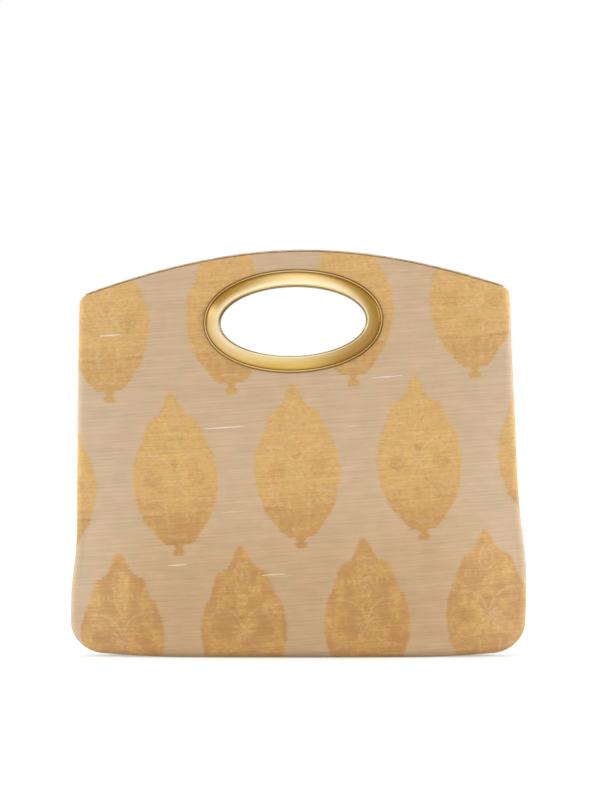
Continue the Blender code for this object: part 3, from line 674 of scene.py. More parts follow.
def silkMaterial(look):
    material, tree, shader = newMaterial("slub silk with woven leaves", look["ground"], 0.56, specular=0.25)
    u, v = clothPlace(tree)
    weft = v - u * math.tan(look["rowTilt"])  # constant along one weft thread
    noise = {}
    for rising, kinds in ((v, look["clothNoise"]), (weft, look["weftNoise"])):
        for name, (fastAcross, fastUp, detail, layer) in kinds.items():
            noise[name] = noiseOf(tree, u * fastAcross, rising * fastUp, detail, layer)
    drawnU = u - v.step(*look["shiftHeights"]) * look["lowShift"]
    drawnV = v - v.step(*look["liftHeights"]) * look["lowLift"]
    coarse, fine = look["edgeWaver"]
    edge = (noise["edge"] - 0.5) * coarse + (noise["edgeThreads"] - 0.5) * fine
    waver = (noise["waver"] - 0.5) * look["figureWaver"]
    past, soft = look["tip"]
    woven = None
    for odd in (0.0, 1.0):
        across, up = leafPlace(drawnU, drawnV, odd, look)
        stepped = ((up * (1.0 / look["stepUp"])).floor() + 0.5) * look["stepUp"]
        share = stepped * (-1.0 / look["length"]) + 1.0
        inside = (share + past).step(0.0, soft) * up.step(-look["footSoftness"], look["footSoftness"])
        wide = leafProfile(tree, share, look) + edge
        body = (wide - across.away()).step(-look["softness"], look["softness"]) * inside
        s = ((up + waver) * (-1.0 / look["length"]) + 1.0) * (1.0 / look["blade"])
        onePale, oneDark = leafFigure((across.away() + waver).away() * (1.0 / look["halfWidth"]), s)
        found = (body, onePale * body, oneDark * body, s.step(*look["lowEnd"]) * body)
        woven = found if woven is None else [one.larger(other) for one, other in zip(woven, found)]
    leaf, pale, dark, low = woven
    starts, shares = look["from"], look["share"]
    streak = noise["thick"] * shares["thick"] + noise["thin"] * shares["thin"]
    slub, sunk, broken = (noise[name].step(*starts[name]) for name in ("slub", "sunk", "broken"))
    rib = (weft * (2.0 * math.pi / look["ribSpacing"])).math("SINE")
    pulled = pulledThreads(u, weft, look)
    foot = v.step(*look["footHeights"])
    figure = pale + dark
    amount = {name: foot * more + less for name, (less, more) in look["footShare"].items()}
    tint, patch, fleck = noise["tint"], noise["patch"], noise["fleck"]
    ground = mixed(tree, tint.step(*starts["groundWarm"]), look["groundCool"], look["groundWarm"])
    gold = mixed(tree, patch.step(*starts["goldBright"]), look["gold"], look["goldBright"])
    gold = mixed(tree, patch.step(*starts["goldWarm"]) * shares["goldWarm"], gold, look["goldWarm"])
    gold = mixed(tree, fleck.step(*starts["deepFleck"]) * amount["deepFleck"], gold, look["goldDeep"])
    gold = mixed(tree, fleck.step(*starts["paleFleck"]) * amount["paleFleck"], gold, look["thread"])
    less, more = look["goldFootShare"]
    gold = mixed(tree, foot * (tint.step(*starts["goldFoot"]) * more + less), gold, look["goldFoot"])
    gold = mixed(tree, low * amount["lowEnd"], gold, look["goldDeep"])
    gold = mixed(tree, dark * broken * shares["darkLine"], gold, look["goldDeep"])
    gold = mixed(tree, pale * broken * amount["paleLine"], gold, look["thread"])
    colour = mixed(tree, leaf, ground, gold)
    colour = mixed(tree, slub * (leaf * shares["slubOnLeaf"] + 1.0) * shares["slub"], colour, look["slub"])
    colour = mixed(tree, pulled * shares["pulled"], colour, look["loose"])
    light = mixed(tree, streak.step(*starts["streaks"]), *look["streaks"])
    light = mixed(tree, sunk * shares["sunk"], light, look["sunk"])
    # painted shade: darker and warmer in the middle of the bag's foot
    footShade = mixed(tree, foot * u.away().step(*look["paintedFootShadeWidths"]), white, look["paintedFootShade"])
    clouds = mixed(tree, noise["cloud"].step(*starts["clouds"]), *look["clouds"])
    # painted light: the cloth made paler and cooler towards the side seams
    sides = mixed(tree, u.away().step(*look["paintedSideLightWidths"]), white, look["paintedSideLight"])
    for factor in (light, footShade, clouds, sides):
        colour = multiplied(tree, colour, factor)
    tree.links.new(colour, shader.inputs["Base Color"])
    rough, leafAdds = look["roughness"]
    tree.links.new((leaf * leafAdds + rough).socket, shader.inputs["Roughness"])
    shader.inputs["Sheen Weight"].default_value = look["sheen"][0]
    shader.inputs["Sheen Roughness"].default_value = look["sheen"][1]
    shader.inputs["Sheen Tint"].default_value = look["sheenTint"]
    r = look["raised"]
    height = streak * r["streak"] + slub * r["slub"] + pulled * r["pulled"] + sunk * r["sunk"]
    height = height + rib * r["rib"] + leaf * r["leaf"] + figure * r["figure"]
    bumpFrom(tree, shader, height, look["relief"])
    return material


satinLook = {
    "facing": {"colour": (0.300, 0.190, 0.080), "dark": (0.240, 0.148, 0.060), "roughness": 0.45},
    "lining": {"colour": (0.480, 0.340, 0.180), "dark": (0.410, 0.285, 0.145), "roughness": 0.50},
}
satinWeave = {
    "twill": 5200.0,
    "cloud": 60.0,
    "grain": 900.0,
    "twillShare": 0.3,
    "relief": 0.00008,
    "sheen": 0.15,
}
mottle = (0.35, 0.65)  # values of the noise from a finish's dark colour to its own


# Satin inside the bag: a close, faint twill
def satinMaterial(name, look):
    w = satinWeave
    material, tree, shader = newMaterial(f"{name} satin", look["colour"], look["roughness"], specular=0.35)
    x, _, z = objectPlace(tree)
    twill = ((x + z) * w["twill"]).math("SINE")
    soft = noiseOf(tree, x * w["cloud"], z * w["cloud"], z=1.0)
    tint = mixed(tree, soft.step(*mottle), look["dark"], look["colour"])
    tree.links.new(tint, shader.inputs["Base Color"])
    shader.inputs["Sheen Weight"].default_value = w["sheen"]
    grain = noiseOf(tree, x * w["grain"], z * w["grain"], z=3.0)
    bumpFrom(tree, shader, twill * w["twillShare"] + grain, w["relief"])
    return material


bindingLook = {
    "colour": (0.640, 0.470, 0.290),
    "dark": (0.500, 0.330, 0.180),
    "roughness": 0.55,
    "sheen": 0.25,
    "thread": 0.0011,
    "slant": 0.35,
    "patches": (140.0, 400.0),
    "shares": (0.5, 0.4),  # of the threads and the patches in the relief
    "relief": 0.00012,
}


# The bound edge: fine threads laid across it
def bindingMaterial(look):
    material, tree, shader = newMaterial("bound edge", look["colour"], look["roughness"], specular=0.3)
    x, y, z = objectPlace(tree)
    thread = ((x + y * look["slant"]) * (2.0 * math.pi / look["thread"])).math("SINE")
    across, up = look["patches"]
    patch = noiseOf(tree, x * across, z * up).step(*mottle)
    tree.links.new(mixed(tree, patch, look["dark"], look["colour"]), shader.inputs["Base Color"])
    shader.inputs["Sheen Weight"].default_value = look["sheen"]
    threadShare, patchShare = look["shares"]
    bumpFrom(tree, shader, thread * threadShare + patch * patchShare, look["relief"])
    return material


# The metal goes from cream at the opening to deeper gold at the rim, painted light and shade, and is darker
# where the band turns down, painted shade. Its grooves are dark with patina, and its collar and foot are
# darkened as painted shadow
goldLook = {
    "fade": (0.0020, 0.0075),  # distances out from the opening, over which painted light fades to painted shade
    "rim": (0.74, 0.68, 0.52),  # painted shade: multiplies the band where it turns down to the groove
    "rimFrom": (0.0072, 0.0094),
    "rimTo": (0.0100, 0.0096),
    "worn": (0.94, 0.93, 0.90),
    "fine": (60.0, 9000.0),  # scratches and worn patches: changes per metre round the ring and out
    "broad": (40.0, 300.0),
    "scatter": 0.10,
    "finishes": (  # name, inner and outer colour, roughness, depth of the brushing
        ("brushed gold metal", (0.960, 0.840, 0.580), (0.850, 0.620, 0.280), 0.20, 0.000012),
        ("polished gold bead", (0.940, 0.745, 0.420), (0.940, 0.745, 0.420), 0.28, 0.000004),
        # patina in the grooves, and painted shadow on the collar and on the foot against the cloth
        ("dark gold groove and painted shadow", (0.340, 0.212, 0.078), (0.340, 0.212, 0.078), 0.45, 0.000012),
    ),
}


# Brushed along the oval: fine scratches that run round the ring, with the colour going by the
# distance out from the opening as painted light and shade
def goldMaterial(name, inner, outer, roughness, brush):
    material, tree, shader = newMaterial(name, inner, roughness, metallic=1.0)
    around, out = clothPlace(tree)
    fineRound, fineOut = goldLook["fine"]
    broadRound, broadOut = goldLook["broad"]
    fine = noiseOf(tree, around * fineRound, out * fineOut, detail=3.0)
    broad = noiseOf(tree, around * broadRound, out * broadOut, detail=2.0, z=3.0)
    # painted light: cream near the opening, fading to deeper gold as painted shade towards the rim
    colour = mixed(tree, out.step(*goldLook["fade"]), inner, outer)
    worn = mixed(tree, broad.step(*mottle), goldLook["worn"], white)
    # painted shade where the band turns down to the groove
    turnedDownShade = out.step(*goldLook["rimFrom"]) * out.step(*goldLook["rimTo"])
    rim = mixed(tree, turnedDownShade, white, goldLook["rim"])
    tree.links.new(multiplied(tree, multiplied(tree, colour, worn), rim), shader.inputs["Base Color"])
    rough = (fine - 0.5) * goldLook["scatter"] + roughness
    tree.links.new(rough.socket, shader.inputs["Roughness"])
    bumpFrom(tree, shader, fine, brush)
    return material


steelLook = {"colour": (0.62, 0.60, 0.56), "roughness": 0.26, "wear": 0.20, "grain": 500.0}


def steelMaterial(look):
    roughness = look["roughness"]
    material, tree, shader = newMaterial("nickel plated steel", look["colour"], roughness, metallic=1.0)
    x, _, z = objectPlace(tree)
    wear = noiseOf(tree, x * look["grain"], z * look["grain"], detail=3.0)
    rough = (wear - 0.5) * look["wear"] + roughness
    tree.links.new(rough.socket, shader.inputs["Roughness"])
    return material


boardLook = {
    "colour": (0.66, 0.63, 0.56),
    "fibres": ((0.58, 0.54, 0.46), (0.70, 0.67, 0.60)),
    "grain": 350.0,
    "relief": 0.0001,
}


def boardMaterial(look):
    material, tree, shader = newMaterial("pressed pulp board", look["colour"], 0.90, specular=0.2)
    x, _, z = objectPlace(tree)
    fibre = noiseOf(tree, x * look["grain"], z * look["grain"], detail=4.0)
    tree.links.new(mixed(tree, fibre.step(*mottle), *look["fibres"]), shader.inputs["Base Color"])
    bumpFrom(tree, shader, fibre, look["relief"])
    return material


silk = silkMaterial(silkLook)
facingSatin, liningSatin = (satinMaterial(name, look) for name, look in satinLook.items())
binding = bindingMaterial(bindingLook)
golds = [goldMaterial(*finish) for finish in goldLook["finishes"]]
steel = steelMaterial(steelLook)
board = boardMaterial(boardLook)
print("materials made")

# How many points the outer cloth has along each stretch of half its outline, and down its rows
silkGrid = {
    "bottom": 44,
    "corner": 22,
    "side": 72,
    "topCorner": 7,
    "mouth": 48,
    "rim": 9,
    "rows": 112,
    "back": 22,
    "turnIn": 0.3,  # of the silk's thickness, where the two faces of the cloth meet at the seam
    "stretch": (0.6, 2.0),  # of the pattern round the seam, and its most
}


# Right half of the outline at an inset, from the middle of the bottom round to the middle of
# the mouth, then mirrored to close it. The mouth's corners shrink with the inset but never
# cross
def bagOutline(inset):
    f, n = bagForm, silkGrid
    radius = f["cornerRadius"]
    cornerX = halfWidthAt(radius) - radius
    x = [np.linspace(0.0, cornerX, n["bottom"], endpoint=False)]
    z = [bottomAt(x[0]) + inset]
    turn = np.linspace(0.0, math.pi / 2.0, n["corner"], endpoint=False)
    x.append(cornerX + (radius - inset) * np.sin(turn))
    z.append(radius - (radius - f["bottomRise"] - inset) * np.cos(turn))
    small = max(f["topCornerRadius"] - inset, f["leastCorner"])
    covered = layers["pipingHeight"] + layers["gap"]
    topX = halfWidthAt(f["height"] - f["archDrop"]) - inset
    sideZ = np.linspace(radius, archAt(topX) - covered - inset - small, n["side"], endpoint=False)
    x.append(halfWidthAt(sideZ) - inset)
    z.append(sideZ)
    turn = np.linspace(0.0, math.pi / 2.0, n["topCorner"], endpoint=False)
    x.append(topX - small * (1.0 - np.cos(turn)))
    z.append(archAt(x[-1]) - covered - inset - small * (1.0 - np.sin(turn)))
    x.append(np.linspace(topX - small, 0.0, n["mouth"]))
    z.append(archAt(x[-1]) - covered - inset)
    x, z = np.concatenate(x), np.concatenate(z)
    return np.concatenate([x, -x[-2:0:-1]]), np.concatenate([z, z[-2:0:-1]])


# Outward ripple of the cloth: short puckers that die away from the seams, and a few long soft
# waves that hang from the handle's ends. Nowhere negative, and nothing under the handle
ripple = {
    "pucker": 0.00030,
    "puckerLength": 0.021,
    "puckerFade": 0.011,
    "wobble": 3.0,  # how unevenly the puckers are spaced
    "wobbles": ((0.7, 61.0, 1.0), (0.4, 137.0, 2.0)),  # size, radians per metre, share of hand
    "sideStart": 0.4,  # keeps the puckers at the sides from repeating those at the bottom
    "wave": 0.00045,
    "waves": ((1.0, 58.0, 23.0, 1.0), (0.6, 31.0, -47.0, 1.7)),  # the same, across and up
    "waveMiddle": 0.5,
    "waveSwing": 0.3,
    "waveTop": 0.20,
    "waveReach": 0.12,
    "clearMargin": 0.002,
    "clearReach": 0.015,
}


def clothRipple(x, z, hand):
    r = ripple
    away, lying = seamDistance(x, z)
    along = np.where(lying > 0.5, x, z + r["sideStart"])
    wobble = sum(size * np.sin(along * turns + share * hand) for size, turns, share in r["wobbles"])
    pucker = 0.5 + 0.5 * np.sin(along * 2.0 * math.pi / r["puckerLength"] + r["wobble"] * wobble)
    fade = np.exp(-np.maximum(away, 0.0) / r["puckerFade"])
    long = sum(size * np.sin(x * across + z * up + share * hand) for size, across, up, share in r["waves"])
    wave = (r["waveMiddle"] + r["waveSwing"] * long) * eased((r["waveTop"] - z) / r["waveReach"])
    clear = eased((pastOval(x, z) - ovalForm["band"] - r["clearMargin"]) / r["clearReach"])
    return clear * (r["pucker"] * pucker * fade + r["wave"] * wave)


# Points of one loop of the cloth: leaned, at the cloth's own depth less its offset, rounded to
# the seam by a quarter circle
def clothLoop(x, z, offset, hand):
    f = bagForm
    away, lying = seamDistance(x, z)
    depth = outerDepth(*leaned(x, z))
    floorY = f["seamEdge"] + f["bottomShare"] * lying * (depth - f["seamEdge"])
    share = np.clip((away - offset) / (f["seamRound"] - offset), 0.0, 1.0)
    bent = np.sqrt(1.0 - (1.0 - share) ** 2)
    y = floorY + (depth - offset - floorY) * bent
    if offset == 0.0:
        y = y + clothRipple(x, z, hand) * bent
    px, pz = leaned(x, z)
    return px, y, pz, bent


# Outer silk of one half, as loops that run from the seam and the mouth in to the handle, back
# out behind, and close on themselves in both directions
def silkHalf(name, side, hand):
    n, f = silkGrid, bagForm
    rows = []
    turns = np.linspace(0.0, math.pi / 2.0, n["rim"])
    outer = [clothLoop(*bagOutline(f["seamRound"] * (1.0 - math.cos(t))), 0.0, hand) for t in turns]
    reach = f["seamRound"] - layers["silk"]
    insets = [layers["silk"] + reach * (1.0 - math.cos(t)) for t in turns[::2]]
    inner = [clothLoop(*bagOutline(inset), layers["silk"], hand) for inset in insets]
    baseX, baseZ = bagOutline(f["seamRound"])
    leanX, leanZ = leaned(baseX, baseZ)
    a, b = ovalForm["halfWidth"], ovalForm["halfHeight"]
    localX, localZ = ovalLocal(leanX, leanZ)
    holeX, holeZ = ovalPoint(np.arctan2(localZ / b, localX / a), ovalForm["clothEdge"])
    for x, y, z, _ in outer:
        rows.append(np.stack([x, side * y, z], axis=-1))
    for share in np.linspace(0.0, 1.0, n["rows"] + 1)[1:]:
        x, z = leanX + (holeX - leanX) * share, leanZ + (holeZ - leanZ) * share
        y = outerDepth(x, z) + clothRipple(x, z, hand)
        rows.append(np.stack([x, side * y, z], axis=-1))
    for share in np.linspace(1.0, 0.0, n["back"] + 1)[:-1]:
        x, z = leanX + (holeX - leanX) * share, leanZ + (holeZ - leanZ) * share
        rows.append(np.stack([x, side * (outerDepth(x, z) - layers["silk"]), z], axis=-1))
    for x, y, z, _ in inner[::-1]:
        rows.append(np.stack([x, side * y, z], axis=-1))
    closing = layers["gap"] / 2.0
    bent = outer[0][3]
    for (x, y, z, _), turnIn in ((inner[0], n["turnIn"]), (outer[0], -n["turnIn"])):
        y = closing * (1.0 - bent) + (y + turnIn * layers["silk"]) * bent
        rows.append(np.stack([x, side * y, z], axis=-1))
    points = np.array(rows)
    cloth = points[:, :, [0, 2]].copy()
    cloth[:, :, 0] *= -side
    ringX, ringY, ringZ, _ = outer[-1]  # what is bent round the seam goes on in the cloth's plane
    out = np.hypot(points[: n["rim"], :, 0] - ringX, points[: n["rim"], :, 2] - ringZ)
    drop = np.abs(np.abs(points[: n["rim"], :, 1]) - ringY)
    more, most = n["stretch"]
    stretch = np.where(out > 1e-6, 1.0 + more * drop / np.maximum(out, 1e-6), 1.0)
    stretch = np.minimum(stretch, most)
    cloth[: n["rim"], :, 0] = -side * (ringX + (points[: n["rim"], :, 0] - ringX) * stretch)
    cloth[: n["rim"], :, 1] = ringZ + (points[: n["rim"], :, 2] - ringZ) * stretch
    grid = {"points": points, "closeRows": True, "closeColumns": True, "cloth": cloth}
    node = "front_panel" if side < 0 else "back_panel"
    return makePiece(name, [grid], [silk], replaces=[node], sharp=60.0)


facingGrid = {"bottom": 26, "side": 22, "mouth": 46, "rows": 24}


# Band inside the mouth: loops from its own edge in to the handle, in front and behind
def facingHalf(name, side):
    n = facingGrid
    inset = bagForm["seamRound"] + layers["gap"]
    covered = layers["pipingHeight"] + layers["gap"]
    low = layers["facingBottom"]
    reach = halfWidthAt(low) - inset
    topX = halfWidthAt(bagForm["height"] - bagForm["archDrop"]) - inset
    x = [np.linspace(0.0, reach, n["bottom"], endpoint=False)]
    z = [np.full(n["bottom"], low)]
    z.append(np.linspace(low, archAt(topX) - covered, n["side"], endpoint=False))
    x.append(halfWidthAt(z[-1]) - inset)
    x.append(np.linspace(topX, 0.0, n["mouth"]))
    z.append(archAt(x[-1]) - covered)
    x, z = np.concatenate(x), np.concatenate(z)
    x, z = np.concatenate([x, -x[-2:0:-1]]), np.concatenate([z, z[-2:0:-1]])
    x, z = leaned(x, z)
    localX, localZ = ovalLocal(x, z)
    angle = np.arctan2(localZ / ovalForm["halfHeight"], localX / ovalForm["halfWidth"])
    holeX, holeZ = ovalPoint(angle, ovalForm["clothEdge"])
    rows = []
    for offset, shares in (
        (layers["facingOut"], np.linspace(0.0, 1.0, n["rows"])),
        (layers["facingIn"], np.linspace(1.0, 0.0, n["rows"])),
    ):
        for share in shares:
            px, pz = x + (holeX - x) * share, z + (holeZ - z) * share
            rows.append(np.stack([px, side * (outerDepth(px, pz) - offset), pz], axis=-1))
    grid = {"points": np.array(rows), "closeRows": True, "closeColumns": True}
    node = "front_facing" if side < 0 else "back_facing"
    return makePiece(name, [grid], [facingSatin], replaces=[node], sharp=30.0)


liningGrid = {"across": 120, "down": 70, "crowding": 1.15, "round": 0.0060}


# Lining of one half: upright lines from the facing's edge down to a rounded bottom, at the
# inside depth, which a quarter circle brings to the middle plane along the sides and bottom
def liningHalf(name, side):
    n = liningGrid
    inset = bagForm["seamRound"] + layers["gap"] + layers["lining"]
    radius = bagForm["cornerRadius"] - inset
    angle = np.linspace(-math.pi / 2.0, math.pi / 2.0, n["across"])
    across = np.sin(angle)[:, None]
    down = np.linspace(0.0, 1.0, n["down"])[None, :] ** n["crowding"]
    wide = halfWidthAt(bagForm["cornerRadius"]) - inset
    past = np.clip(np.abs(across) * wide - (wide - radius), 0.0, radius)
    lowest = bottomAt(across * wide) + inset + radius - np.sqrt(radius**2 - past**2)
    top = layers["facingBottom"] - layers["gap"] - layers["lining"]
    z = top + (lowest - top) * down
    x = across * (halfWidthAt(z) - inset)
    away, _ = seamDistance(x, z)
    share = np.clip((away - inset) / n["round"], 0.0, 1.0)
    px, pz = leaned(x, z)
    close = layers["gap"] / 2.0
    y = close + (outerDepth(px, pz) - layers["liningIn"] - close) * np.sqrt(1.0 - (1.0 - share) ** 2)
    grid = {"points": np.stack([px, side * y, pz], axis=-1)}
    node = "front_lining" if side < 0 else "back_lining"
    made = makePiece(name, [grid], [liningSatin], replaces=[node], inwards=side > 0)
    wall = made.modifiers.new("cloth thickness", "SOLIDIFY")
    wall.thickness = layers["lining"]
    wall.offset = -1.0
    return made


pipingForm = {
    "steps": 260,
    "sides": 20,
    "square": 2.8,
    "proud": 0.0002,
    "taper": 0.011,
    "leastSize": 0.02,
    "endShare": 0.6,
    "crowding": 1.547,  # radians, just short of a quarter turn: the steps crowd at both ends
}


# Superellipse carried along the mouth's edge, its size eased to nothing at both ends
def pipingHalf(name, side):
    n = pipingForm
    f = bagForm
    reach = halfWidthAt(f["height"] - f["archDrop"]) - f["seamRound"] * n["endShare"]
    spread = np.sin(np.linspace(-1.0, 1.0, n["steps"]) * n["crowding"])
    x0 = reach * spread / spread[-1]
    radius, fromSide = f["topCornerRadius"], halfWidthAt(archAt(x0)) - np.abs(x0)
    corner = np.clip(radius - fromSide, 0.0, radius)
    drop = radius - np.sqrt(radius**2 - corner**2)
    px, pz = leaned(x0, archAt(x0) - drop - layers["pipingHeight"] / 2.0)
    inner = np.clip(fromSide / f["seamRound"], 0.0, 1.0)
    edge = f["seamEdge"] + (outerDepth(px, pz) - f["seamEdge"]) * np.sqrt(1.0 - (1.0 - inner) ** 2)
    size = np.sqrt(np.clip((reach - np.abs(x0)) / n["taper"], n["leastSize"], 1.0))
    turn = np.linspace(0.0, 2.0 * math.pi, n["sides"], endpoint=False)
    power = 2.0 / n["square"]
    ringY = np.sign(np.cos(turn)) * np.abs(np.cos(turn)) ** power
    ringZ = np.sign(np.sin(turn)) * np.abs(np.sin(turn)) ** power
    halfY = np.minimum(layers["facingIn"], edge) / 2.0
    halfZ = layers["pipingHeight"] / 2.0
    y = (edge - halfY)[:, None] + ((halfY + n["proud"]) * size)[:, None] * ringY[None, :]
    z = pz[:, None] + (halfZ * size)[:, None] * ringZ[None, :]
    x = np.broadcast_to(px[:, None], y.shape)
    grid = {"points": np.stack([x, side * y, z], axis=-1), "closeColumns": True, "caps": True}
    node = "front_piping" if side < 0 else "back_piping"
    return makePiece(name, [grid], [binding], replaces=[node], sharp=50.0)


# Section of the oval frame: distance out from the opening, rise above the pressed cloth and
# finish, where 0 is the brushed band, 1 the polished bead and 2 the dark collar, grooves and foot:
# patina in the grooves, painted shadow on the collar and on the foot against the cloth
frameForm = {
    "steps": 300,
    "around": 0.06,  # metres of brushing to a radian
    "plateIn": 0.0012,
    "section": (
        # the collar, darkened as painted shadow
        (0.00000, -0.00320, 2),
        (0.00000, 0.00170, 2),
        (0.00015, 0.00220, 2),
        (0.00040, 0.00275, 0),
        (0.00080, 0.00308, 0),
        (0.00130, 0.00322, 0),
        (0.00220, 0.00313, 0),
        (0.00350, 0.00296, 0),
        (0.00480, 0.00275, 0),
        (0.00610, 0.00248, 0),
        (0.00730, 0.00215, 0),
        (0.00830, 0.00180, 0),
        (0.00900, 0.00145, 0),
        (0.00935, 0.00118, 0),
        (0.00955, 0.00100, 2),
        (0.00985, 0.00098, 2),
        (0.01005, 0.00130, 1),
        (0.01045, 0.00148, 1),
        # the foot against the cloth and the underside, darkened as painted shadow
        (0.01080, 0.00130, 2),
        (0.01100, 0.00092, 2),
        (0.01150, 0.00080, 2),
        (0.01180, 0.00030, 2),
        (0.00520, 0.00030, 2),
        (0.00520, -0.00320, 2),
    ),
    "plate": (
        (0.0000, 0.0035), (0.0000, 0.0045), (0.0001, 0.0047), (0.0094, 0.0047),
        (0.0095, 0.0046), (0.0095, 0.0036), (0.0094, 0.0035), (0.0002, 0.0035),
    ),
}


# Section carried round the oval, each of its points at its own offset along the normal
def ovalRing(section, side, smoothing):
    offsets = np.array([entry[0] for entry in section])
    rises = np.array([entry[1] for entry in section])
    finish = np.array([entry[2] if len(entry) > 2 else 0 for entry in section])
    for _ in range(smoothing):  # cuts each corner of the section a quarter of the way in
        now = np.stack([offsets, rises])
        after = np.roll(now, -1, axis=1)
        cut = np.stack([now * 0.75 + after * 0.25, now * 0.25 + after * 0.75], axis=2)
        offsets, rises = cut.reshape(2, -1)
        finish = np.repeat(finish, 2)
    angle = np.linspace(0.0, 2.0 * math.pi, frameForm["steps"], endpoint=False)
    x, z = ovalPoint(angle[None, :], offsets[:, None])
    y = np.broadcast_to(side * rises[:, None], x.shape)
    around = frameForm["around"] * np.minimum(angle, 2.0 * math.pi - angle)
    return {
        "points": np.stack([x, y, z], axis=-1),
        "closeRows": True,
        "closeColumns": True,
        "material": finish,
        "cloth": np.stack(np.broadcast_arrays(around[None, :], offsets[:, None]), axis=-1),
    }


def handleHalf(half, side):
    section = [(out, rise + ovalForm["depth"], finish) for out, rise, finish in frameForm["section"]]
    makePiece(
        f"{half}HandleFrame",
        [ovalRing(section, side, 2)],
        golds,
        replaces=[f"{half}_handle_frame"],
        sharp=50.0,
    )
    plate = [(out, rise - frameForm["plateIn"]) for out, rise in frameForm["plate"]]
    makePiece(
        f"{half}HandlePlate",
        [ovalRing(plate, side, 0)],
        [steel],
        replaces=[f"{half}_handle_plate"],
        sharp=30.0,
    )


# Profile of radius and depth turned about an axis along Y
def turnedPart(centre, profile, side, sides):
    radius = np.array([entry[0] for entry in profile])[:, None]
    depth = np.array([entry[1] for entry in profile])[:, None]
    turn = np.linspace(0.0, 2.0 * math.pi, sides, endpoint=False)[None, :]
    x = centre[0] + radius * np.cos(turn)
    z = centre[1] + radius * np.sin(turn)
    y = np.broadcast_to(side * depth, x.shape)
    return {"points": np.stack([x, y, z], axis=-1), "closeColumns": True, "caps": True}


screwForm = {
    "angles": (45.0, 135.0, 225.0, 315.0),
    "offset": 0.0027,
    "sides": 28,
    "profile": (
        (0.00040, 0.00150),
        (0.00050, 0.00110),
        (0.00126, 0.00112),
        (0.00160, 0.00130),
        (0.00178, 0.00155),
        (0.00180, 0.00198),
        (0.00090, 0.00200),
        (0.00090, 0.00640),
        (0.00060, 0.00680),
    ),
}


def screwsHalf(half, side):
    x, z = ovalPoint(np.radians(screwForm["angles"]), screwForm["offset"])
    form = screwForm
    grids = [turnedPart(place, form["profile"], side, form["sides"]) for place in zip(x, z)]
    names = [f"{half}_screw_{k + 1}" for k in range(len(grids))]
    makePiece(f"{half}Screws", grids, [steel], replaces=names, sharp=30.0)


# Each snap half from its face on the facing to its axis
snapForm = {
    "sides": 72,
    "socket": (
        (0.0002, 0.0035), (0.0090, 0.0035), (0.0090, 0.0001), (0.0088, -0.0003), (0.0085, -0.0005),
        (0.0040, -0.0005), (0.0036, -0.0004), (0.0033, 0.0000), (0.0033, 0.0021), (0.0002, 0.0021),
    ),
    "stud": (
        (0.0002, 0.0035), (0.0090, 0.0035), (0.0090, 0.0013), (0.0088, 0.0010), (0.0085, 0.0008),
        (0.0030, 0.0008), (0.0030, -0.0007), (0.0028, -0.0010), (0.0025, -0.0012), (0.0002, -0.0012),
    ),
}


for half, side, hand in (("front", -1.0, 0.4), ("back", 1.0, 2.1)):
    silkHalf(f"{half}Silk", side, hand)
    facingHalf(f"{half}FacingCloth", side)
    liningHalf(f"{half}LiningCloth", side)
    pipingHalf(f"{half}BoundEdge", side)
    handleHalf(half, side)
    screwsHalf(half, side)
for key, side in (("socket", -1.0), ("stud", 1.0)):
    disc = [turnedPart(snapCentre, snapForm[key], side, snapForm["sides"])]
    names = [f"snap_{key}"]
    makePiece(f"snap{key.title()}Disc", disc, [steel], replaces=names, sharp=30.0)

for name, finish in (
    ("front_stiffener", board),
    ("back_stiffener", board),
    ("snap_socket_washer", steel),
    ("snap_stud_washer", steel),
):
    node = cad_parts[name]
    node.data.materials.clear()
    node.data.materials.append(finish)
print("pieces made")

# Plain studio: white floor and surround, a soft key light, and a dim side for the metal
studio = {
    "cameraX": 0.0014,
    "cameraZ": 0.1777,
    "cameraY": -1.545,
    "lens": 100.0,
    "floorGlow": 0.425,
    "farFloorGlow": 0.95,
    "floorWhite": 0.60,
    "leftFloorInMetal": (0.97, 0.92, 0.88),
    "floorInMetal": (0.93, 0.84, 0.50),
    "rightFloorInMetal": (0.50, 0.37, 0.21),
    "leftFloorEnds": (-0.22, -0.04),
    "rightFloorStarts": (0.02, 0.13),
    "nearFloor": (0.35, 1.60),  # distances over which the near floor turns into the far one
    "floorReach": 9.0,
    "surround": 0.42,
    "walls": 1.9,  # how much brighter the side walls are, for the cloth's rounded edges
    "lightInMetal": (0.93, 0.88, 0.76),
    "topLightInMetal": (1.36, 1.33, 1.30),
    "shadowInMetal": (0.48, 0.350, 0.125),
    "shadowRight": ((0.07, 0.24), (0.88, 0.70)),  # directions across, from none to all
    "shadowFarLeft": (-0.80, -0.95),
    "shadowLean": ((-1.9, -1.2), (-0.12, -0.34)),  # of the upper left one, across over up
    "shadowOut": (0.26, 0.40),
    "shadowAhead": (0.25, -0.05),
    "leastUp": 0.05,
    "overhead": ((0.08, 0.26), (0.85, 0.50)),
    "wallsFrom": (0.45, 0.85),
    "lampAim": (0.0, 0.0, 0.14),
    "lamps": (  # name, place, size in metres, power in watts
        ("key", (-0.65, -1.75, 1.35), 1.3, 5.8),
        ("fill", (0.95, -1.90, 0.75), 1.0, 5.0),
        ("top", (0.10, 0.30, 1.60), 1.1, 8.0),
        ("leftEdge", (-1.50, -0.22, 0.30), 0.9, 16.5),
        ("rightEdge", (1.50, -0.26, 0.30), 0.9, 18.0),
    ),
}


# Whether a ray comes from the camera or through glass, and whether from a mirroring surface
def rayKinds(tree):
    node = tree.nodes.new("ShaderNodeLightPath")
    kinds = ("Camera", "Glossy", "Transmission")
    camera, glossy, through = (Wire(tree, node.outputs[f"Is {kind} Ray"]) for kind in kinds)
    return camera.larger(through), glossy
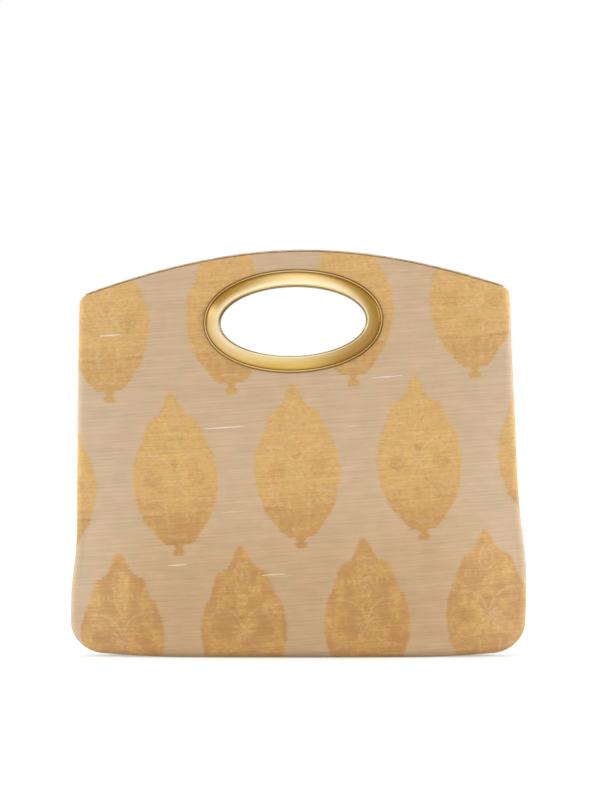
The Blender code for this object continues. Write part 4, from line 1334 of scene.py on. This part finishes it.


# White floor that glows just enough to look white, and keeps the bag's shadow. Metal sees it as
# three strips of painted reflection from left to right: light, pale gold and, on the right, warm shade
def makeFloor():
    material = bpy.data.materials.new("white floor")
    material.use_nodes = True
    tree = material.node_tree
    tree.nodes.clear()
    plain = tree.nodes.new("ShaderNodeBsdfDiffuse")
    glow = tree.nodes.new("ShaderNodeEmission")
    x, y, _ = objectPlace(tree)
    camera, glossy = rayKinds(tree)
    tree.links.new(mixed(tree, glossy, (studio["floorWhite"],) * 3, (0.0, 0.0, 0.0)), plain.inputs["Color"])
    past = x.step(*studio["leftFloorEnds"])
    mirrored = mixed(tree, past, studio["leftFloorInMetal"], studio["floorInMetal"])
    mirrored = mixed(tree, x.step(*studio["rightFloorStarts"]), mirrored, studio["rightFloorInMetal"])
    tree.links.new(mixed(tree, glossy, white, mirrored), glow.inputs["Color"])
    near, more = studio["floorGlow"], studio["farFloorGlow"] - studio["floorGlow"]
    far = hypotenuse(x, y).step(*studio["nearFloor"]) * more + near
    tree.links.new((camera * far + glossy).socket, glow.inputs["Strength"])
    both = tree.nodes.new("ShaderNodeAddShader")
    out = tree.nodes.new("ShaderNodeOutputMaterial")
    tree.links.new(plain.outputs[0], both.inputs[0])
    tree.links.new(glow.outputs[0], both.inputs[1])
    tree.links.new(both.outputs[0], out.inputs["Surface"])
    mesh = bpy.data.meshes.new("floor")
    r = studio["floorReach"]
    mesh.from_pydata([(-r, -r, 0), (r, -r, 0), (r, r, 0), (-r, r, 0)], [], [(0, 1, 2, 3)])
    mesh.materials.append(material)
    floor = bpy.data.objects.new("floor", mesh)
    bpy.context.scene.collection.objects.link(floor)


# Surround: white where it is seen behind the bag. What metal mirrors from in front of it is
# bright above and on the left, and in warm shadow on the right, far left and upper left
def makeSurround():
    world = bpy.data.worlds.new("studio surround")
    bpy.context.scene.world = world
    world.use_nodes = True
    tree = world.node_tree
    place = tree.nodes.new("ShaderNodeTexCoord")
    split = tree.nodes.new("ShaderNodeSeparateXYZ")
    tree.links.new(place.outputs["Generated"], split.inputs[0])
    x, y, z = (Wire(tree, socket) for socket in split.outputs)
    camera, glossy = rayKinds(tree)
    right = between(x, studio["shadowRight"])
    lean = x / z.larger(studio["leastUp"])
    upperLeft = between(lean, studio["shadowLean"]) * hypotenuse(x, z).step(*studio["shadowOut"])
    farLeft = x.step(*studio["shadowFarLeft"])
    shadow = right.larger(upperLeft).larger(farLeft) * y.step(*studio["shadowAhead"])
    background = tree.nodes["Background"]
    overhead = between(z, studio["overhead"])
    mirrored = mixed(tree, overhead, studio["lightInMetal"], studio["topLightInMetal"])
    mirrored = mixed(tree, shadow, mirrored, studio["shadowInMetal"])
    tree.links.new(mixed(tree, glossy, white, mirrored), background.inputs["Color"])
    lit = (x.away().step(*studio["wallsFrom"]) * studio["walls"] + 1.0) * studio["surround"]
    direct = camera.larger(glossy)
    tree.links.new((direct + (direct * -1.0 + 1.0) * lit).socket, background.inputs["Strength"])


def makeLamps():
    for name, place, size, power in studio["lamps"]:
        lamp = bpy.data.lights.new(name, "AREA")
        lamp.shape, lamp.size, lamp.energy = "SQUARE", size, power
        made = bpy.data.objects.new(name, lamp)
        made.location = place
        made.visible_glossy = False  # the metal mirrors the surround and floor alone
        aim = np.array(studio["lampAim"]) - np.array(place)
        made.rotation_euler = (
            math.atan2(math.hypot(aim[0], aim[1]), -aim[2]),
            0.0,
            math.atan2(-aim[0], aim[1]),
        )
        bpy.context.scene.collection.objects.link(made)


def makeCamera():
    camera = bpy.data.cameras.new("camera")
    camera.lens = studio["lens"]
    made = bpy.data.objects.new("camera", camera)
    made.location = (studio["cameraX"], studio["cameraY"], studio["cameraZ"])
    made.rotation_euler = (math.pi / 2.0, 0.0, 0.0)
    bpy.context.scene.collection.objects.link(made)
    bpy.context.scene.camera = made


makeFloor()
makeSurround()
makeLamps()
makeCamera()
bpy.context.scene.view_settings.view_transform = "Standard"
print("studio made")
